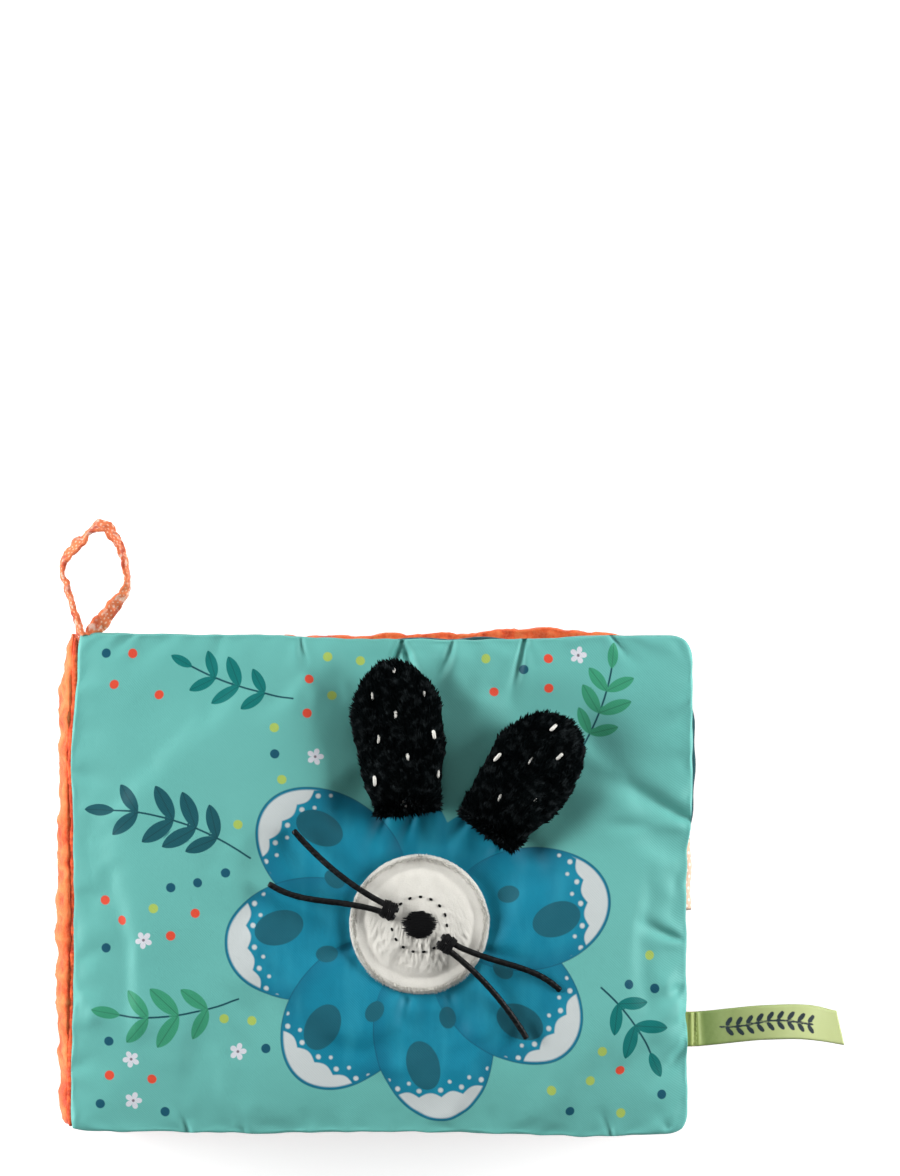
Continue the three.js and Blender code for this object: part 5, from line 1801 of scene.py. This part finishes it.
def add_petal(name):
    """A flat pad of black plush, gathered at its foot, lifting a little off the cover towards its tip."""
    angle, length = PLUSH_PETALS[name]
    seed = 1 + list(PLUSH_PETALS).index(name)
    flower, ahead, sideways = flower_axes(angle)
    base = flower + PETAL_FOOT * ahead
    sides = 96
    sweep = 2 * np.pi * (np.arange(sides) + 0.5) / sides
    start, tip = 1.4, length - 1.6
    out_share = (1 - np.cos(sweep)) / 2
    out_x = start + (tip - start) * out_share
    out_y = -np.sign(np.sin(sweep)) * petal_half_width(out_share) * PETAL_SHRINK
    middle = length * 0.52

    def ring(scale, level):
        x = middle + (out_x - middle) * scale
        y = out_y * scale
        full = 0.55 + 0.6 * np.sin(np.pi / 2 * clamp(x / length / 0.3))
        gather = 0.6 * np.cos(y * 1.5) * np.exp(-((x / 6) ** 2))
        return np.column_stack([x, y, petal_lift(x, length) + level * full + (gather if level > 1 else 0)])

    rings = [ring(scale, 0) for scale in (0.05, 0.4, 0.75, 0.95)]
    rings += [ring(1.0, level) for level in (0.5, 1.2, 2.0)]
    rings += [ring(scale, level) for scale, level in (
        (0.97, 2.9), (0.92, 3.6), (0.84, 4.2), (0.75, 4.6), (0.62, 4.9), (0.5, 5.05), (0.36, 5.15),
        (0.22, 5.2), (0.08, 5.2),
    )]
    points, faces = skin(rings)
    local = points.copy()
    on_top = local[:, 2] - petal_lift(local[:, 0], length)
    tufts = noise_at(local * [0.55, 1.0, 1.0], 2.6, seed + 4)
    lumps = noise_at(local, 9, seed) * 0.6 + noise_at(local, 4, seed + 3) * 0.35 + 0.4 * tufts
    points[:, 2] += lumps * smooth_step(on_top / 3)
    world = base + points[:, :1] * ahead + points[:, 1:2] * sideways + points[:, 2:] * UP
    swirl = noise_at(local, 9, seed + 6)
    comb = (0.9 - 1.1 * np.exp(-((local[:, 0] / 5) ** 2)))[:, None] * ahead + (0.5 * swirl)[:, None] * sideways
    comb += (0.35 * local[:, 1:2] / (PETAL_WIDTH / 2)) * sideways
    pile = (on_top > 0.25).astype(float)
    obj = make_object(name + "_plush", world, faces, [MATERIALS["black_plush"]],
                      {"comb": comb, "pile": pile, "tip": 0 * on_top})
    nodes = [f"{name}_{part}" for part in ("lining", "pile", "wadding")]
    coats = [
        furred(obj, name + "_fur", "black_plush", 11.0, 2.5, 0.27, 0.38, 0.9, 2.6, seed=seed),
        furred(obj, name + "_under_fur", "black_plush", 10.0, 1.7, 0.26, 0.7, 1.0, 1.5, seed=seed + 20),
        furred(obj, name + "_locks", "black_plush", 2.6, 3.3, 0.8, 0.26, 1.3, 2.6, strand=LOCK, seed=seed + 8),
    ]
    fit(obj, name, nodes)
    for coat in coats:
        fit(coat, name)
    tree = BVHTree.FromObject(obj, bpy.context.evaluated_depsgraph_get())
    draw = random.Random(30 + seed)
    parts = []
    for share, side, proud in PETAL_STITCHES[name]:
        half_width = float(petal_half_width(np.array(share))) * PETAL_SHRINK
        spot = base + share * length * ahead + side * half_width * sideways
        heading = ahead + draw.uniform(-0.25, 0.25) * sideways
        half = draw.uniform(1.4, 1.8)
        line = []
        for t in np.linspace(-1, 1, 9):
            at = spot + heading * t * half
            hit = tree.ray_cast(Vector((at[0] * MM, at[1] * MM, 0.2)), Vector((0, 0, -1)))
            level = hit[0].z / MM if hit[0] else base[2] + 4
            line.append((at[0], at[1], level + proud - 0.6 * t**4))
        parts.append(skin(tube_rings(line, 0.58 * np.sqrt(1.04 - np.linspace(-1, 1, 9) ** 4), 9)))
    points, faces = joined(parts)
    fit(make_object(name + "_stitches", points, faces, [MATERIALS["white_thread"]]), name)


def add_petal_foot(name):
    """The row of stitches that holds a petal's foot."""
    a, b = foot_line(name)
    line = spaced(np.array([a, b]), 20)
    placed = drop_on(line, front_satin, 1)
    placed[:, 2] += 0.3
    sewn = stitched(name + "_foot_stitches", [(placed, False)], "black_thread", 1.6, 1.9, 0.6)
    fit(sewn, "front_cover")


for petal in PLUSH_PETALS:
    add_petal(petal)
    add_petal_foot(petal)


# Ribbons

LOOP_WIDTH = 5.4
LOOP_LENGTH = 83
TAB_WIDTH = 23.4
# The loop's places from the cover's corner, and how many degrees its tape has turned there to show its face
LOOP_ROUTE = [
    (2.4, -1.2, 30), (0.7, 2.4, 25), (-1.2, 8.2, 16), (-2.8, 14, 19), (-4.6, 19, 8), (-4.3, 22, 16),
    (-2.1, 25.6, 36), (1.4, 29, 46), (4.2, 31.6, 10), (7.4, 34.4, 38), (10.2, 33.6, 46), (12.1, 31, 36),
    (14.7, 27, 24),
    (16.3, 21, 16), (17.1, 16.2, 12), (15.7, 12.5, 36), (12.8, 8.2, 54), (9.2, 3.9, 64), (6.5, 0.6, 56),
    (5.2, -1.4, 44),
]


def add_loop():
    """A folded tape of dotted cotton that twists as it goes round, pinched where its fold turns over."""
    corner = np.array([-COVER_WIDTH / 2, COVER_HEIGHT / 2, FRONT_SEAM_Z])
    count = 190
    small = 0.001
    route = through([(x, y, turned * small) for x, y, turned in LOOP_ROUTE], count)
    path = corner + route * [1, 1, 0]
    share = np.linspace(0, 1, count)
    along = unit(np.gradient(path, axis=0))
    sideways = np.cross(along, UP)
    lean = np.radians(route[:, 2] / small)
    across = UP * np.cos(lean)[:, None] + sideways * np.sin(lean)[:, None]
    width = LOOP_WIDTH - 1.2 * clamp(1 - share / 0.1)
    crumple = np.column_stack([share * LOOP_LENGTH, 0 * share, 0 * share])
    path = path + sideways * (0.35 * noise_at(crumple, 2.6, 3))[:, None]
    rings = strip_rings(path, across, width * (1 + 0.12 * noise_at(crumple, 1.9, 5)), 1.2, 11)
    ring_size = rings.shape[1]
    middle = rings.mean(axis=1, keepdims=True)
    curl = np.linalg.norm(rings - middle, axis=2, keepdims=True) / (width[:, None, None] / 2)
    normal = unit(np.cross(along, across))[:, None]
    rings = rings + normal * 0.6 * curl**2 * np.sin(share * 9)[:, None, None]
    points, faces = skin(rings)
    front = np.linspace(-2.8, 2.8, (ring_size - 2) // 2 + 2)
    round_tape = np.concatenate([front[1:-1], [2.8], 5.6 - front[::-1][1:-1], [-2.8]])
    own = own_places(share * LOOP_LENGTH, np.tile(round_tape, (count, 1)))
    points += 0.16 * np.column_stack([noise_at(points, 1.6, seed) for seed in (51, 52, 53)])
    obj = make_object("hanging_loop_tape", points, faces, [MATERIALS["orange_dot_ribbon"]], {"cloth": own})
    fit(obj, "hang_loop", ["hang_loop"])


LABEL_WIDTH = 11.4
LABEL_Y = -48.4
LABEL_ROUTE = [
    (-2.2, 0, 0.1), (0.5, 0, 0), (4, 0.1, -0.5), (9, 0.5, -1.5), (15, 1.1, -2.3), (22, 1.8, -2.3),
    (29, 2.2, -1.3), (36, 2.4, 0.4), (43, 1.9, 2.3), (51, 0.6, 4.2),
]


def add_label():
    """A folded satin ribbon, curving up off the table, with a slanted end and a plain sprig on it."""
    count, columns = 120, 23
    edge_x = 99.4
    path = through(np.array(LABEL_ROUTE) + (edge_x, LABEL_Y, FRONT_SEAM_Z), count)
    steps = run_of(path)
    rings = strip_rings(path, np.tile([0, -1.0, 0], (count, 1)), LABEL_WIDTH, 0.45, columns)
    side = (rings[:, :, 1] - path[:, None, 1]) / (LABEL_WIDTH / 2)
    share = (steps / steps[-1])[:, None]
    rings[:, :, 0] += smooth_step((share - 0.75) / 0.25) * (-2.2 * side - 1.4)
    rings[:, :, 2] += 0.35 * side * np.sin(share * 5) + 0.12 * np.sin(share * 37) * (1 - share)
    for fold in (3.4, 5.6):
        rings[:, :, 2] += 0.45 * np.exp(-(((steps[:, None] - fold) / 0.55) ** 2))
    points, faces = skin(rings)
    own = own_places(steps, side * LABEL_WIDTH / 2)
    flat = own[:, :2]
    distance, _ = line_distance(flat, [(x, 0.5 * math.sin(x / 4)) for x in range(13, 45)])
    sprig = np.minimum(5.0, distance - 0.32)
    for k in range(9):
        x = 15 + 3.4 * k
        for sign in (-1, 1):
            middle = (x + 1.1, 0.5 * math.sin(x / 4) + sign * 1.7)
            sprig = np.minimum(sprig, ellipse_distance(flat, middle, 1.7, 0.75, sign * 50))
    obj = make_object("side_label_satin", points, faces, [MATERIALS["green_satin_ribbon"]],
                      {"cloth": own, "sprig": sprig})
    fit(obj, "side_label", ["side_label"])
    middle = path[np.abs(steps - 5.2).argmin()]
    row = np.array([middle + (0, s * 4.6, 0.54) for s in np.linspace(-1, 1, 12)])
    sewn = stitched("side_label_stitches", [(row, False)], "green_thread", 1.5, 1.2, 0.3)
    fit(sewn, "side_label")


def add_tab():
    """A dotted ribbon folded round the second page's fore edge."""
    z = PAGE_Z[2]
    turns = np.linspace(np.pi / 2, -np.pi / 2, 15)
    reach = 2.75
    fold = np.column_stack([98.1 + 2.6 * np.cos(turns), 0 * turns, reach * np.sin(turns)])
    flat = np.array([(x, 0, reach) for x in np.linspace(92, 97.6, 8)])
    path = np.vstack([flat, fold, flat[::-1] * [1, 1, -1]]) + (0, 1.6, z)
    rings = strip_rings(path, np.tile([0, 1.0, 0], (len(path), 1)), TAB_WIDTH, 0.45, 25)
    rings[:, :, 0] += 0.25 * np.sin(rings[:, :, 1] / 2.3) * (rings[:, :, 0] > 98)
    points, faces = skin(rings)
    own = own_places(run_of(path), rings[:, :, 1])
    obj = make_object("page_pull_tab_ribbon", points, faces, [MATERIALS["peach_dot_ribbon"]], {"cloth": own})
    fit(obj, "page_2", ["page_pull_tab"])


add_loop()
add_label()
add_tab()


# Floor and light

def add_floor():
    material, tree, shader = new_material("floor", (0.84, 0.84, 0.84, 1), 0.9, specular=0.1)
    path = add(tree, "ShaderNodeLightPath")
    seen = calc(tree, "MAXIMUM", path.outputs["Is Camera Ray"], path.outputs["Is Glossy Ray"])
    seen = calc(tree, "MAXIMUM", seen, path.outputs["Is Transmission Ray"])
    glow = add(tree, "ShaderNodeEmission", {"Color": (1, 1, 1, 1), "Strength": 0.55}).outputs[0]
    plain = shader.outputs[0]
    lit = add(tree, "ShaderNodeAddShader", {0: plain, 1: glow}).outputs[0]
    mixed = add(tree, "ShaderNodeMixShader", {0: seen, 1: plain, 2: lit}).outputs[0]
    tree.links.new(mixed, tree.nodes["Material Output"].inputs["Surface"])
    half = 3000
    floor = make_object("floor", [(-half, -half, 0), (half, -half, 0), (half, half, 0), (-half, half, 0)],
                        [(0, 1, 2, 3)], [material])


def add_light(name, place, size, power, aim=(0, 0, 30)):
    data = bpy.data.lights.new(name, "AREA")
    data.shape = "RECTANGLE"
    data.size, data.size_y = size[0] * MM, size[1] * MM
    data.energy = power
    lamp = bpy.data.objects.new(name, data)
    lamp.location = np.array(place) * MM
    toward = Vector(aim) - Vector(place)
    lamp.rotation_euler = toward.to_track_quat("-Z", "Y").to_euler()
    scene.collection.objects.link(lamp)


def add_world():
    world = bpy.data.worlds.new("studio")
    world.use_nodes = True
    tree = world.node_tree
    background = tree.nodes["Background"]
    background.inputs["Color"].default_value = (1, 1, 1, 1)
    path = add(tree, "ShaderNodeLightPath")
    seen = calc(tree, "MAXIMUM", path.outputs["Is Camera Ray"], path.outputs["Is Transmission Ray"])
    tree.links.new(span(tree, seen, 0, 1, 0.08, 1.0), background.inputs["Strength"])
    scene.world = world


add_floor()
add_world()
add_light("left_softbox", (-1050, 150, 420), (800, 420), 17.2)
add_light("right_softbox", (1100, 190, 400), (800, 420), 16.4)
add_light("head_softbox", (60, 1050, 560), (900, 400), 3.8)
add_light("overhead", (0, -200, 1500), (800, 800), 1.2)

scene.view_settings.view_transform = "Standard"
